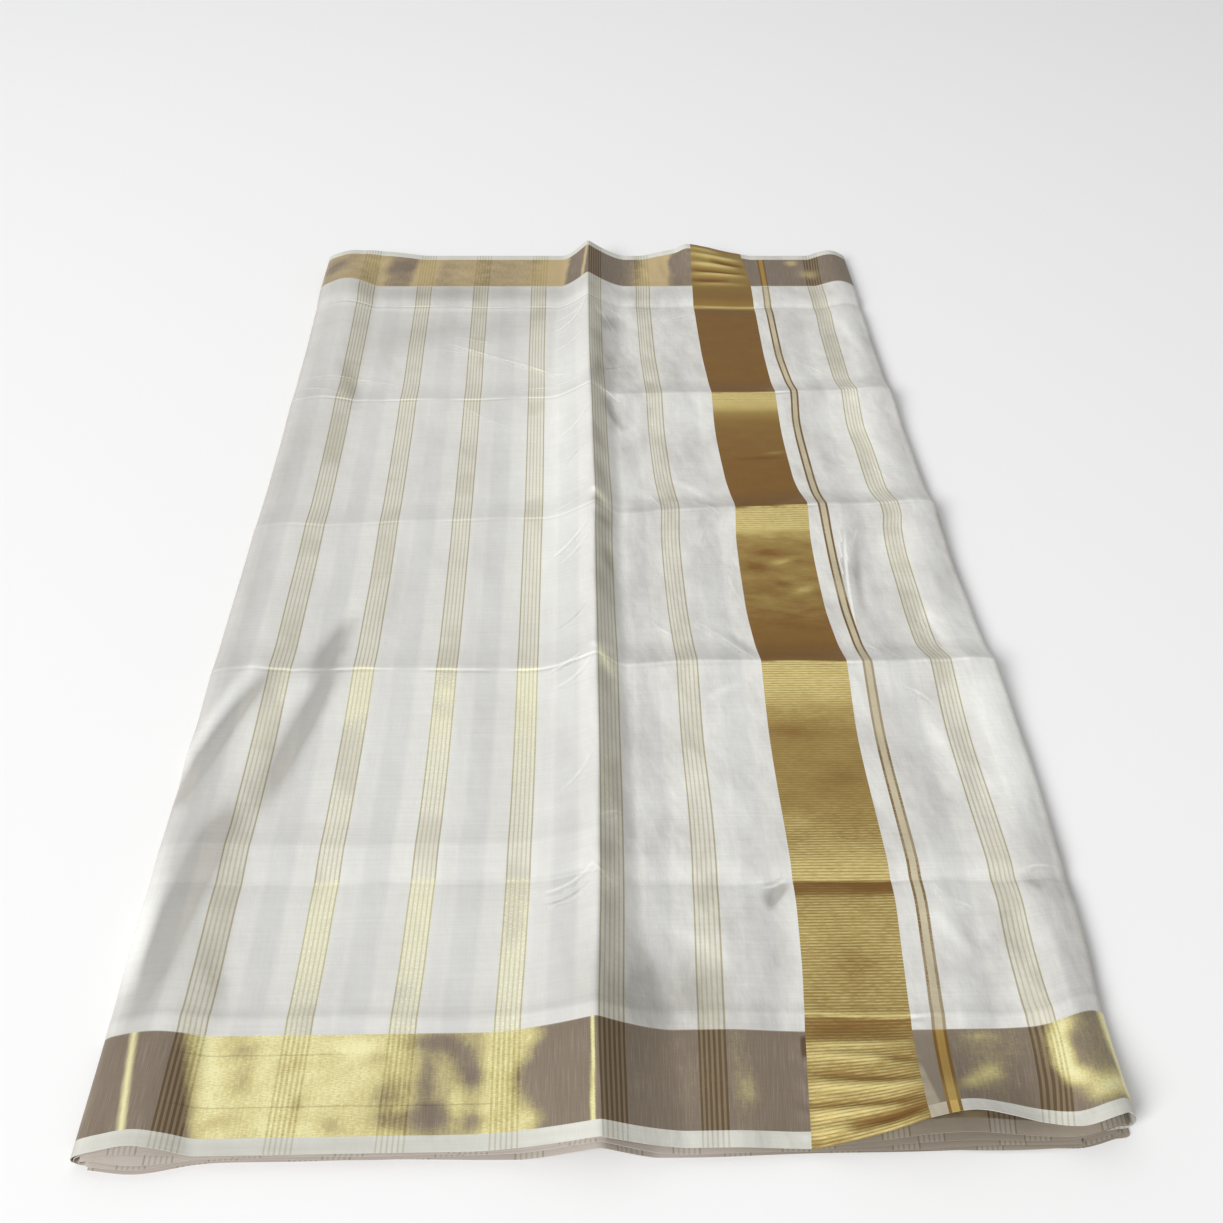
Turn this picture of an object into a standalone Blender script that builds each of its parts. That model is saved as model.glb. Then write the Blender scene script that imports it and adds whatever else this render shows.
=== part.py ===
"""A kasavu saree, folded lengthwise in eight and laid flat.

The cloth is 5.5 m long and 1.16 m wide. Folded in half three times along its length it lies
0.69 m by 1.16 m and eight layers deep. X runs along the folded length, from the left fold, which
goes round every layer, to the right fold, which goes round the upper four. Y runs across the
cloth's width, from the near selvedge to the far one. The underside lies on Z = 0.

The top layer is one surface, worked out from the tables below and cut into its woven zones and
stretches. The lower edges that show are walls of their own, and the hidden layers share one solid.
"""
from collections import namedtuple
from math import pi

import bpy
import numpy as np

# Cloth and stack, in metres
CLOTH_WIDTH = 1.160
SELVEDGE = 0.0107
BORDER = 0.0692
WALL = 0.0010
SEAM = 0.0003
CORE_GAP = 0.0005
NOSE_SLACK = 0.0024
FOOT = 0.0012
LOBE_INSET = 0.0006
LOBE_POWER = 0.7
STACK_TOP = 0.0120
LEFT_TURN = 0.010
RIGHT_TURN = 0.008
SLOT_HEIGHT = 0.0055
X_ORIGIN = 0.0037

NEAR = -CLOTH_WIDTH / 2
FAR = CLOTH_WIDTH / 2
NEAR_INNER = NEAR + SELVEDGE + BORDER
FAR_INNER = -NEAR_INNER

# Where each line of the weave crosses the middle of the cloth, along the folded length
U_LEFT = -0.3430
U_STRIPE = -0.1483
U_CENTRE = -0.0065
U_BAND_START = 0.1370
U_BAND_END = 0.2095
U_DOUBLE = 0.2255
U_RIGHT = 0.3450
LINES = (U_LEFT, U_STRIPE, U_CENTRE, U_BAND_START, U_BAND_END, U_DOUBLE, U_RIGHT)

# How those lines wander across the width: x of each at y, in millimetres
Drift = namedtuple("Drift", "y left stripe centre band_start band_end double right")
DRIFT = (
    Drift(-580, -342.7, -151.0, -7.6, 128.0, 208.7, 220.5, 344.5),
    Drift(-500, -342.7, -150.4, -9.2, 134.5, 208.5, 222.3, 345.3),
    Drift(-445, -343.0, -148.5, -7.8, 139.2, 212.5, 227.0, 347.5),
    Drift(-385, -343.5, -147.3, -6.3, 141.0, 215.5, 229.8, 349.2),
    Drift(-250, -342.8, -145.3, -5.3, 138.8, 212.8, 227.2, 352.9),
    Drift(-165, -342.3, -145.2, -5.2, 139.4, 214.7, 228.2, 348.8),
    Drift(-80, -341.9, -145.2, -5.4, 134.5, 208.0, 222.2, 344.8),
    Drift(0, -341.0, -145.3, -5.4, 134.1, 207.4, 221.2, 342.2),
    Drift(60, -340.4, -145.9, -4.6, 137.0, 210.0, 220.0, 340.4),
    Drift(110, -339.9, -146.4, -5.0, 132.2, 203.2, 216.8, 339.0),
    Drift(200, -340.2, -147.2, -6.2, 128.6, 200.7, 214.5, 336.5),
    Drift(258, -340.5, -147.5, -6.9, 129.2, 200.8, 217.7, 335.0),
    Drift(350, -341.2, -149.3, -8.4, 125.2, 198.5, 211.6, 333.0),
    Drift(455, -343.5, -151.0, -8.0, 123.7, 199.0, 211.8, 331.8),
    Drift(500, -345.5, -151.7, -7.8, 125.0, 199.6, 213.3, 331.6),
    Drift(580, -345.5, -151.7, -6.5, 126.5, 193.5, 214.5, 330.0),
)

# The long centre crease, which tents the whole stack: height and width of each flank at y, in mm
Ridge = namedtuple("Ridge", "y height left right")
RIDGE = (
    Ridge(-580, 20, 80, 55),
    Ridge(-500, 22, 72, 50),
    Ridge(-400, 20, 54, 30),
    Ridge(-100, 19, 50, 25),
    Ridge(200, 19, 47, 27),
    Ridge(420, 19, 38, 38),
    Ridge(500, 20, 32, 44),
    Ridge(580, 22, 30, 46),
)
RIDGE_POWER = 1.5
# The channel that the ridge leaves under the stack: its share of the ridge's height and width
CHANNEL_HEIGHT = 0.78
CHANNEL_WIDTH = 0.62
CHANNEL_POWER = 1.25

# The loops of cloth at the two folds: height of each bulge above the flat top at y, in mm
Fold = namedtuple("Fold", "y left right")
FOLDS = (
    Fold(-580, 4.0, 6.0),
    Fold(-520, 9.5, 8.0),
    Fold(-440, 8.0, 4.5),
    Fold(-250, 5.0, 3.5),
    Fold(0, 4.0, 3.0),
    Fold(250, 5.0, 3.0),
    Fold(420, 7.5, 5.0),
    Fold(500, 12.0, 7.5),
    Fold(580, 8.5, 8.0),
)
LEFT_LOOP = 0.074
RIGHT_LOOP = 0.050
LOOP_POWER = 1.3
RIGHT_LOOP_LEAN = 0.8

# Folds pressed across the length: y at the left and right fold, height at each, length of each flank
Crease = namedtuple("Crease", "y_left y_right left right far_flank near_flank")
CREASES = (
    Crease(455, 455, -1.5, -3.0, 14, 26),
    Crease(257, 257, 3.5, 8.0, 34, 80),
    Crease(39, 60, 3.0, 9.0, 32, 85),
    Crease(-163, -163, 3.5, 9.5, 32, 80),
    Crease(-347, -345, 2.0, 0.0, 24, 30),
    Crease(-378, -381, -1.5, -3.0, 16, 24),
    Crease(-489, -489, 1.2, 1.2, 8, 10),
)
CREASE_POWER = 1.6
# Where the creases grow from their left to their right height
CREASE_GROWS = (-0.06, 0.10)

# The near edge, which stands clear of the layers below: lift and set-back at x, in mm
Lift = namedtuple("Lift", "x height back")
NEAR_LIFT = (
    Lift(-345, 0, 0),
    Lift(-325, 6, 1.5),
    Lift(-303, 8, 4),
    Lift(-284, 5, 2),
    Lift(-262, 0, 0),
    Lift(128, 0, 0),
    Lift(148, 6, 1),
    Lift(180, 15, 2.5),
    Lift(212, 25, 5),
    Lift(232, 24, 8),
    Lift(256, 17, 8),
    Lift(286, 9, 7),
    Lift(306, 10, 8),
    Lift(324, 13, 9),
    Lift(338, 11, 8),
    Lift(346, 5, 6),
)
# The far edge, where the band is bunched: height at x, in mm
Bunch = namedtuple("Bunch", "x height")
FAR_BUNCH = (
    Bunch(-300, 0),
    Bunch(-272, 6),
    Bunch(-240, 3),
    Bunch(-215, 0),
    Bunch(60, 0),
    Bunch(84, 5),
    Bunch(106, 10),
    Bunch(122, 17),
    Bunch(146, 13),
    Bunch(170, 7),
    Bunch(205, 0),
)
LIFT_POWER = 1.4
BUNCH_POWER = 1.3
BUNCH_REACH = 0.090
# The near right quarter lies lower than the rest
NEAR_SAG = 0.005
SAG_X = (0.075, 0.135, 0.265, 0.325)
SAG_Y = (-0.470, -0.360)

# Gathers across the pallu band, where it crosses each border
GATHERS = 9
GATHER_HEIGHT = 0.0011
GATHER_REACH = 0.082

# The edges of layers that show under the lifted top: share of the lift, share of the set-back, depth
Layer = namedtuple("Layer", "name u_start u_end lift back depth width")
LAYERS = (
    Layer("second_layer_left", -0.332, -0.276, 0.10, 0.00, 1, 0.036),
    Layer("second_layer_right", 0.160, 0.3330, 0.42, 0.45, 1, 0.060),
    Layer("third_layer_right", 0.154, 0.3300, 0.12, 0.18, 2, 0.060),
)
LAYER_ROWS = 5
LAYER_STEP = WALL + SEAM
RECESS_START = 4.5

# The layered near and far edges of the hidden stack
HIDDEN_LAYERS = 6
EDGE_GROOVE = 0.0016
EDGE_UNEVEN = 0.0022
EDGE_WAVE = 9.0
EDGE_SHIFT = 2.1

# Grid: where the columns and rows of points lie on the cloth, in mm
COLUMNS_LEFT = (-324, -312, -298, -284, -268, -235, -180, -120, -84, -62, -44, -28, -16)
COLUMNS_MIDDLE = (4, 16, 34, 62, 100, 128)
COLUMNS_BAND = (152, 180)
COLUMNS_RIGHT = (232, 256, 282, 304, 322)
ROWS_BORDER_NEAR = (-553, -535, -518)
ROWS_FIELD = (-470, -430, -396, -381, -364, -335, -290, -250, -195, -163, -140, -100, -40,
              20, 45, 60, 80, 120, 180, 228, 257, 278, 320, 390, 436, 455, 475)
ROWS_BORDER_FAR = (522, 550)
TURN_STEPS = 5
RIGHT_TURN_STEPS = 4
RIGHT_TURN_END = 0.86 * pi

Finish = namedtuple("Finish", "colour roughness metallic")
FINISHES = {
    "cotton_field": Finish((0.70, 0.69, 0.66), 0.60, 0.0),
    "zari_border": Finish((0.52, 0.42, 0.25), 0.38, 0.6),
    "zari_band": Finish((0.55, 0.38, 0.14), 0.36, 0.7),
    "selvedge": Finish((0.74, 0.73, 0.69), 0.60, 0.0),
    "lower_layers": Finish((0.60, 0.56, 0.50), 0.70, 0.0),
}


def column(table, name):
    """One named column of a table, in the table's own units."""
    return np.array([getattr(row, name) for row in table], float)


def read(table, key, name, at):
    """A column of a table read at places along its key column, all from mm to m."""
    return np.interp(at, column(table, key) / 1000, column(table, name) / 1000)


def smooth(value):
    """Ease from 0 to 1 with no slope at either end."""
    value = np.clip(value, 0, 1)
    return value * value * (3 - 2 * value)


def falling(distance, reach, power):
    """1 at no distance, down to 0 at the reach, steepest at the start."""
    return np.clip(1 - np.abs(distance) / reach, 0, 1) ** power


def place_x(u, y):
    """x of the weave's line u where it crosses y."""
    lines = np.array([read(DRIFT, "y", name, y) for name in Drift._fields[1:]])
    return np.array([np.interp(u, LINES, lines[:, i]) for i in range(len(y))])


def ridge(x, y):
    """Height of the long centre crease."""
    away = x - read(DRIFT, "y", "centre", y)
    reach = np.where(away < 0, read(RIDGE, "y", "left", y), read(RIDGE, "y", "right", y))
    return read(RIDGE, "y", "height", y) * falling(away, reach, RIDGE_POWER)


def cross_creases(x, y):
    """Height of the folds pressed across the length, higher on the right of the centre."""
    total = np.zeros_like(x)
    along = np.clip((x - U_LEFT) / (U_RIGHT - U_LEFT), 0, 1)
    right = smooth((x - CREASE_GROWS[0]) / (CREASE_GROWS[1] - CREASE_GROWS[0]))
    for crease in CREASES:
        middle = (crease.y_left + (crease.y_right - crease.y_left) * along) / 1000
        height = (crease.left + (crease.right - crease.left) * right) / 1000
        reach = np.where(y > middle, crease.far_flank, crease.near_flank) / 1000
        total += height * falling(y - middle, reach, CREASE_POWER)
    return total


def fold_loops(x, y):
    """Height of the soft loops along the left and right folds."""
    from_left = np.clip((x - read(DRIFT, "y", "left", y)) / LEFT_LOOP, 0, 1)
    from_right = np.clip((read(DRIFT, "y", "right", y) - x) / RIGHT_LOOP, 0, 1)
    left = read(FOLDS, "y", "left", y) * np.sin(pi * from_left) ** LOOP_POWER
    right = read(FOLDS, "y", "right", y) * np.sin(pi * from_right ** RIGHT_LOOP_LEAN) ** LOOP_POWER
    return left + right


def near_sag(x, y):
    """How far the near right quarter lies below the flat top."""
    rising = smooth((x - SAG_X[0]) / (SAG_X[1] - SAG_X[0]))
    ending = smooth((SAG_X[3] - x) / (SAG_X[3] - SAG_X[2]))
    return -NEAR_SAG * rising * ending * smooth((SAG_Y[1] - y) / (SAG_Y[1] - SAG_Y[0]))


def far_bunch(x, y):
    """Height of the bunched far edge."""
    return read(FAR_BUNCH, "x", "height", x) * smooth((y - FAR) / BUNCH_REACH + 1) ** BUNCH_POWER


def near_share(y):
    """1 at the near selvedge, down to 0 at the border's inner edge."""
    return np.clip((NEAR_INNER - y) / (NEAR_INNER - NEAR), 0, 1)


def top_height(x, y):
    """Height of the stack's top, without the near edge's lift."""
    rise = ridge(x, y) + cross_creases(x, y) + fold_loops(x, y) + near_sag(x, y) + far_bunch(x, y)
    return STACK_TOP + rise


def cloth_points(u, y, lift=1.0, back=1.0, lower=0.0):
    """Points of one layer on the grid of u and y, as an array of rows, columns and x, y, z."""
    x = place_x(u, y)
    across = np.repeat(y[:, None], len(u), axis=1)
    share = near_share(across)
    z = top_height(x, across) - lower + lift * read(NEAR_LIFT, "x", "height", x) * share ** LIFT_POWER
    moved = across + back * read(NEAR_LIFT, "x", "back", x) * share
    return np.stack([x, moved, z], axis=-1)


def left_turn(edge, steps):
    """Points round the left fold, from the tuck on the floor up to the flat's first column."""
    middle = edge[:, None, 2] / 2
    angle = np.linspace(pi, 0, steps + 1)[:-1]
    x = edge[:, None, 0] - LEFT_TURN * np.sin(angle)
    z = middle * (1 + np.cos(angle))
    return np.stack([x, np.repeat(edge[:, None, 1], steps, axis=1), z], axis=-1)


def turn_height(angle):
    """Share of the right turn's height at each angle, 1 at its top and 0 at its end in the slot."""
    end = np.cos(RIGHT_TURN_END)
    return (np.cos(angle) - end) / (1 - end)


def right_turn(edge, steps):
    """Points round the right fold, from the flat's last column into the slot at half height."""
    angle = np.linspace(0, RIGHT_TURN_END, steps + 1)[1:]
    x = edge[:, None, 0] + RIGHT_TURN * np.sin(angle)
    z = SLOT_HEIGHT + (edge[:, None, 2] - SLOT_HEIGHT) * turn_height(angle)
    return np.stack([x, np.repeat(edge[:, None, 1], steps, axis=1), z], axis=-1)


def directions(points, axis):
    """Mean direction of the steps before and after each point, and how far it cuts the corner."""
    steps = np.diff(points, axis=axis)
    steps /= np.linalg.norm(steps, axis=-1, keepdims=True)
    count = steps.shape[axis]
    after = np.concatenate([steps, steps.take([count - 1], axis)], axis)
    before = np.concatenate([steps.take([0], axis), steps], axis)
    total = (after + before) / 2
    length = np.linalg.norm(total, axis=-1, keepdims=True)
    return total / length, length


def single(points, axis):
    """Which grid lines stay when each pair beside a seam counts as one, and each line's own one."""
    middle = points.take(points.shape[1 - axis] // 2, 1 - axis)
    apart = np.linalg.norm(np.diff(middle, axis=0), axis=-1) > 2 * SEAM
    keep = np.concatenate([[True], apart])
    return np.flatnonzero(keep), np.cumsum(keep) - 1


def offset_grid(points, distance):
    """The grid moved into the stack, square to its surface, with each point kept at its own y."""
    rows, own_row = single(points, 0)
    columns, own_column = single(points, 1)
    merged = points[rows][:, columns]
    along, corner = directions(merged, 1)
    across, _ = directions(merged, 0)
    normal = np.cross(along, across)
    normal /= np.linalg.norm(normal, axis=-1, keepdims=True)
    normal[..., 1] = 0
    inward = normal / (normal ** 2).sum(axis=-1, keepdims=True) / np.maximum(corner, 0.6)
    return points - distance * inward[own_row][:, own_column]


def grid_faces(index):
    """Two triangles for each cell of a grid of vertex numbers."""
    a, b = index[:-1, :-1].ravel(), index[:-1, 1:].ravel()
    c, d = index[1:, 1:].ravel(), index[1:, :-1].ravel()
    return np.concatenate([np.stack([a, b, c], 1), np.stack([a, c, d], 1)]).tolist()


def make_material(name):
    """A plain material with the finish's colour, roughness and metallic value."""
    material = bpy.data.materials.new(name)
    material.use_nodes = True
    finish = FINISHES[name]
    shader = material.node_tree.nodes["Principled BSDF"]
    shader.inputs["Base Color"].default_value = (*finish.colour, 1)
    shader.inputs["Roughness"].default_value = finish.roughness
    shader.inputs["Metallic"].default_value = finish.metallic
    return material


def make_object(name, points, faces, finish):
    """A closed mesh object, moved so that the origin is under the middle of the whole."""
    mesh = bpy.data.meshes.new(name)
    moved = np.asarray(points, float) - (X_ORIGIN, 0, 0)
    mesh.from_pydata(moved.tolist(), [], faces)
    mesh.materials.append(bpy.data.materials.get(finish) or make_material(finish))
    mesh.validate()
    mesh.shade_smooth()
    mesh.set_sharp_from_angle(angle=0.6)
    item = bpy.data.objects.new(name, mesh)
    bpy.context.scene.collection.objects.link(item)
    return item


def make_wall(name, outer, inner, finish):
    """A wall of cloth between two matching grids of points, closed round its rim."""
    rows, columns = outer.shape[:2]
    top = np.arange(rows * columns).reshape(rows, columns)
    under = top + rows * columns
    faces = grid_faces(top) + [face[::-1] for face in grid_faces(under)]
    for upper, lower in ((top[0, ::-1], under[0, ::-1]), (top[:, 0], under[:, 0]),
                         (top[-1], under[-1]), (top[::-1, -1], under[::-1, -1])):
        faces += grid_faces(np.stack([upper, lower]))
    points = np.concatenate([outer.reshape(-1, 3), inner.reshape(-1, 3)])
    return make_object(name, points, faces, finish)


def with_seams(*stretches):
    """All places along one direction, with a pair half a seam to each side of each boundary."""
    places = []
    for start, inside, end in stretches:
        places += [start + SEAM / 2, *(value / 1000 for value in inside), end - SEAM / 2]
    return np.array(places)


def spans(*stretches):
    """First and last grid number of each stretch between boundaries."""
    found, first = [], 0
    for _, inside, _ in stretches:
        found.append((first, first + len(inside) + 1))
        first += len(inside) + 2
    return found


FLAT_LEFT = U_LEFT + LEFT_TURN
FLAT_RIGHT = U_RIGHT - RIGHT_TURN
COLUMN_STRETCHES = (
    (FLAT_LEFT - SEAM / 2, COLUMNS_LEFT, U_CENTRE),
    (U_CENTRE, COLUMNS_MIDDLE, U_BAND_START),
    (U_BAND_START, COLUMNS_BAND, U_BAND_END),
    (U_BAND_END, COLUMNS_RIGHT, FLAT_RIGHT + SEAM / 2),
)
ROW_STRETCHES = (
    (NEAR - SEAM / 2, (), NEAR + SELVEDGE),
    (NEAR + SELVEDGE, ROWS_BORDER_NEAR, NEAR_INNER),
    (NEAR_INNER, ROWS_FIELD, FAR_INNER),
    (FAR_INNER, ROWS_BORDER_FAR, FAR - SELVEDGE),
    (FAR - SELVEDGE, (), FAR + SEAM / 2),
)
COLUMN_NAMES = ("left", "middle", "band", "right")
ROW_NAMES = ("near_selvedge", "near_border", "field", "far_border", "far_selvedge")
ROW_FINISH = ("selvedge", "zari_border", "cotton_field", "zari_border", "selvedge")


def top_layer():
    """The whole top layer: flat part and both turns, outer and inner points, and the flat's span."""
    u = with_seams(*COLUMN_STRETCHES)
    y = with_seams(*ROW_STRETCHES)
    flat = cloth_points(u, y)
    outer = np.concatenate(
        [left_turn(flat[:, 0], TURN_STEPS), flat, right_turn(flat[:, -1], RIGHT_TURN_STEPS)], axis=1)
    inner = offset_grid(outer, WALL)
    # the tuck under the left fold ends square on the floor
    inner[:, 0] = outer[:, 0] + (0, 0, WALL)
    return outer, inner


def gathered(points):
    """The band's rows, with more of them over the borders, raised in gathers."""
    y = points[:, 0, 1]
    reach = NEAR + GATHER_REACH
    steps = np.linspace(0, GATHER_REACH, 2 * GATHERS + 1)[1:-1]
    wanted = np.unique(np.concatenate([y, NEAR + steps, FAR - steps]).round(5))
    wanted = wanted[(wanted >= y[0]) & (wanted <= y[-1])]
    position = np.interp(wanted, y, np.arange(len(y)))
    low = np.minimum(position.astype(int), len(y) - 2)
    share = (position - low)[:, None, None]
    rows = points[low] * (1 - share) + points[low + 1] * share
    from_edge = np.minimum(wanted - NEAR, FAR - wanted)
    wave = np.abs(np.sin(pi * from_edge / GATHER_REACH * GATHERS)) * (np.abs(wanted) > -reach)
    return rows, GATHER_HEIGHT * wave[:, None] * np.ones(points.shape[1])


def make_top_layer(outer, inner):
    """Cut the top layer into its woven zones and stretches, one node each."""
    columns = [(a + TURN_STEPS, b + TURN_STEPS) for a, b in spans(*COLUMN_STRETCHES)]
    columns[0] = (0, columns[0][1])
    columns[-1] = (columns[-1][0], outer.shape[1] - 1)
    for (first, last), side in zip(columns, COLUMN_NAMES):
        if side == "band":
            over, under = outer[:, first:last + 1], inner[:, first:last + 1]
            rows, height = gathered(over)
            rows_under, _ = gathered(under)
            rows[..., 2] += height
            rows_under[..., 2] += height
            make_wall("pallu_band", rows, rows_under, "zari_band")
            continue
        for (start, end), zone, finish in zip(spans(*ROW_STRETCHES), ROW_NAMES, ROW_FINISH):
            cut = (slice(start, end + 1), slice(first, last + 1))
            make_wall(f"{zone}_{side}", outer[cut], inner[cut], finish)


def make_lower_edges():
    """The strips of lower layers that show under the lifted near edge."""
    for layer in LAYERS:
        u = with_seams(*COLUMN_STRETCHES)
        inside = u[(u > layer.u_start) & (u < layer.u_end)]
        u = np.concatenate([[layer.u_start], inside, [layer.u_end]])
        y = np.linspace(NEAR, NEAR + layer.width, LAYER_ROWS)
        points = cloth_points(u, y, layer.lift, layer.back, layer.depth * LAYER_STEP)
        make_wall(layer.name, points, points - (0, 0, WALL), "lower_layers")


def core_recess(x, y):
    """How far the hidden stack stays below the top layer at the near edge, for the lower edges."""
    lift = read(NEAR_LIFT, "x", "height", x)
    step = np.where(x > 0, 2 * LAYER_STEP, LAYER_STEP)
    return np.minimum(lift, step) * smooth(RECESS_START * near_share(y))


def hidden_top(u, y):
    """Points of the hidden stack's top, under the top layer and the lower edges."""
    flat = cloth_points(u, y, lift=0.0, back=0.0)
    below = offset_grid(flat, WALL + CORE_GAP)
    below[..., 2] -= core_recess(flat[..., 0], flat[..., 1])
    return below


def channel_height(x, y):
    """Height of the shallow channel under the centre crease, 0 where the stack rests."""
    away = x - read(DRIFT, "y", "centre", y)
    reach = CHANNEL_WIDTH * np.where(away < 0, read(RIDGE, "y", "left", y), read(RIDGE, "y", "right", y))
    return CHANNEL_HEIGHT * read(RIDGE, "y", "height", y) * falling(away, reach, CHANNEL_POWER)


def stacked_edge(top, bottom, outward):
    """Levels between a top and a bottom row of points, drawn in at each gap between layers."""
    levels = 2 * HIDDEN_LAYERS
    share = np.linspace(0, 1, levels + 1)[1:-1]
    fade = np.minimum(1, np.minimum(np.arange(len(top)), np.arange(len(top))[::-1]) / 2)
    rows = []
    for number, part in enumerate(share, 1):
        level = top + (bottom - top) * part
        if number % 2 == 0:
            drawn = EDGE_GROOVE
        else:
            wave = np.sin(EDGE_WAVE * top[:, 0] + EDGE_SHIFT * number)
            drawn = EDGE_UNEVEN * (0.5 + 0.5 * wave) * (number < levels - 1)
        level[:, 1] -= outward * fade * drawn
        rows.append(level)
    return np.array(rows)


class Solid:
    """Vertices and faces of one closed solid, gathered patch by patch."""

    def __init__(self):
        self.points = []
        self.faces = []

    def add(self, points):
        """Add an array of points and return their numbers, in the same shape."""
        first = sum(len(block) for block in self.points)
        block = np.asarray(points, float).reshape(-1, 3)
        self.points.append(block)
        return first + np.arange(len(block)).reshape(np.shape(points)[:-1])

    def patch(self, index):
        """Cover a grid of vertex numbers."""
        self.faces += grid_faces(index)

    def polygon(self, *runs):
        """One flat face round joined runs of vertex numbers."""
        ring = [int(number) for run in runs for number in run]
        self.faces.append([n for i, n in enumerate(ring) if n != ring[i - 1]])


def make_core():
    """The hidden layers as one rounded solid, flat where it rests, layered at its edges."""
    u = with_seams(*COLUMN_STRETCHES)
    y = with_seams(*ROW_STRETCHES)
    keep_u = np.concatenate([[True], np.diff(u) > 2 * SEAM])
    keep_y = np.concatenate([[True], np.diff(y) > 2 * SEAM])
    u, y = u[keep_u], y[keep_y]
    top = hidden_top(u, y)
    floor = top * (1, 1, 0)
    floor[..., 2] = channel_height(floor[..., 0], floor[..., 1])
    channel = np.flatnonzero(floor[..., 2].max(axis=0) > 0)
    first, last = channel[0] - 1, channel[-1] + 1
    solid = Solid()
    over = solid.add(top)
    left = solid.add(left_nose(top[:, 0]))
    right = solid.add(right_nose(top[:, -1]))
    under = np.full(over.shape, -1)
    under[:, first:last + 1] = solid.add(floor[:, first:last + 1])
    under[:, 0], under[:, -1] = left[:, -1], right[:, -1]
    for row in (0, -1):
        for span in (slice(1, first), slice(last + 1, len(u) - 1)):
            under[row, span] = solid.add(floor[row, span])
    near = solid.add(stacked_edge(top[0], floor[0], -1))
    far = solid.add(stacked_edge(top[-1], floor[-1], 1))
    near = np.vstack([over[0], near, under[0]])
    far = np.vstack([over[-1], far, under[-1]])
    solid.patch(over)
    solid.patch(np.column_stack([left[:, ::-1], over[:, 0]]))
    solid.patch(np.column_stack([over[:, -1], right]))
    solid.patch(under[:, first:last + 1][:, ::-1])
    solid.patch(near[::-1])
    solid.patch(far)
    solid.polygon(under[0, :first + 1][::-1], under[:, 0], under[-1, :first + 1],
                  under[::-1, first])
    solid.polygon(under[0, last:][::-1], under[:, last], under[-1, last:], under[::-1, -1])
    solid.polygon(near[::-1, 0], left[0])
    solid.polygon(near[:, -1], right[0][::-1])
    solid.polygon(far[:, 0], left[-1][::-1])
    solid.polygon(far[::-1, -1], right[-1])
    make_object("folded_core", np.concatenate(solid.points), solid.faces, "lower_layers")


def left_nose(edge):
    """Section of the hidden stack inside the left fold, from its top down to the floor."""
    inset = WALL + CORE_GAP
    middle = (edge[:, None, 2] + inset) / 2
    radius = LEFT_TURN - inset - NOSE_SLACK
    angle = np.linspace(0, pi, TURN_STEPS + 1)[1:]
    x = edge[:, None, 0] - radius * np.sin(angle)
    z = middle + (middle - inset) * np.cos(angle)
    nose = np.stack([x, np.repeat(edge[:, None, 1], TURN_STEPS, axis=1), z], axis=-1)
    foot = edge + (FOOT, 0, 0)
    foot[:, 2] = 0
    return np.concatenate([nose, foot[:, None]], axis=1)


def right_nose(edge):
    """Section inside the right fold: under its turn, into the slot, round the lower fold."""
    inset = WALL + CORE_GAP
    low = SLOT_HEIGHT + inset
    angle = np.linspace(0, RIGHT_TURN_END, RIGHT_TURN_STEPS + 1)[1:]
    x = edge[:, None, 0] + (RIGHT_TURN - inset - NOSE_SLACK) * np.sin(angle)
    z = low + (edge[:, None, 2] - low) * turn_height(angle)
    upper = np.stack([x, np.repeat(edge[:, None, 1], RIGHT_TURN_STEPS, axis=1), z], axis=-1)
    lobe = SLOT_HEIGHT - CORE_GAP
    angle = np.linspace(0, pi, TURN_STEPS + 1)
    x = edge[:, None, 0] + (RIGHT_TURN - LOBE_INSET) * np.sin(angle).clip(0) ** LOBE_POWER
    z = np.broadcast_to(lobe / 2 * (1 + np.cos(angle)), x.shape)
    lower = np.stack([x, np.repeat(edge[:, None, 1], TURN_STEPS + 1, axis=1), z], axis=-1)
    return np.concatenate([upper, lower], axis=1)


def main():
    """Build every node of the folded saree."""
    for item in list(bpy.data.objects):
        bpy.data.objects.remove(item, do_unlink=True)
    outer, inner = top_layer()
    make_top_layer(outer, inner)
    make_lower_edges()
    make_core()


main()
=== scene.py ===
"""The looks of a kasavu saree, folded lengthwise in eight and laid flat.

The saree is one woven length of off-white cotton, 5.5 m by 1.16 m, with a zari border along each
edge, fine zari stripes across its width and a solid gold pallu band. Folded in half three times it
lies eight layers deep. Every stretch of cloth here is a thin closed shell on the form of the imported
solids. X runs along the folded length, Y across the cloth's width and Z up, all in metres.

Places on the cloth are given as u, the distance along the cloth's length, and v, the distance
across its width from the near selvedge. Both are the cloth's own UV map, so the weave follows it.
"""
from __future__ import annotations

import logging
import math
from abc import ABC, abstractmethod
from dataclasses import dataclass
from enum import Enum
from functools import cache
from typing import Any, Sequence, Union

import bpy
import numpy as np
from mathutils import Matrix, Vector


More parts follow.
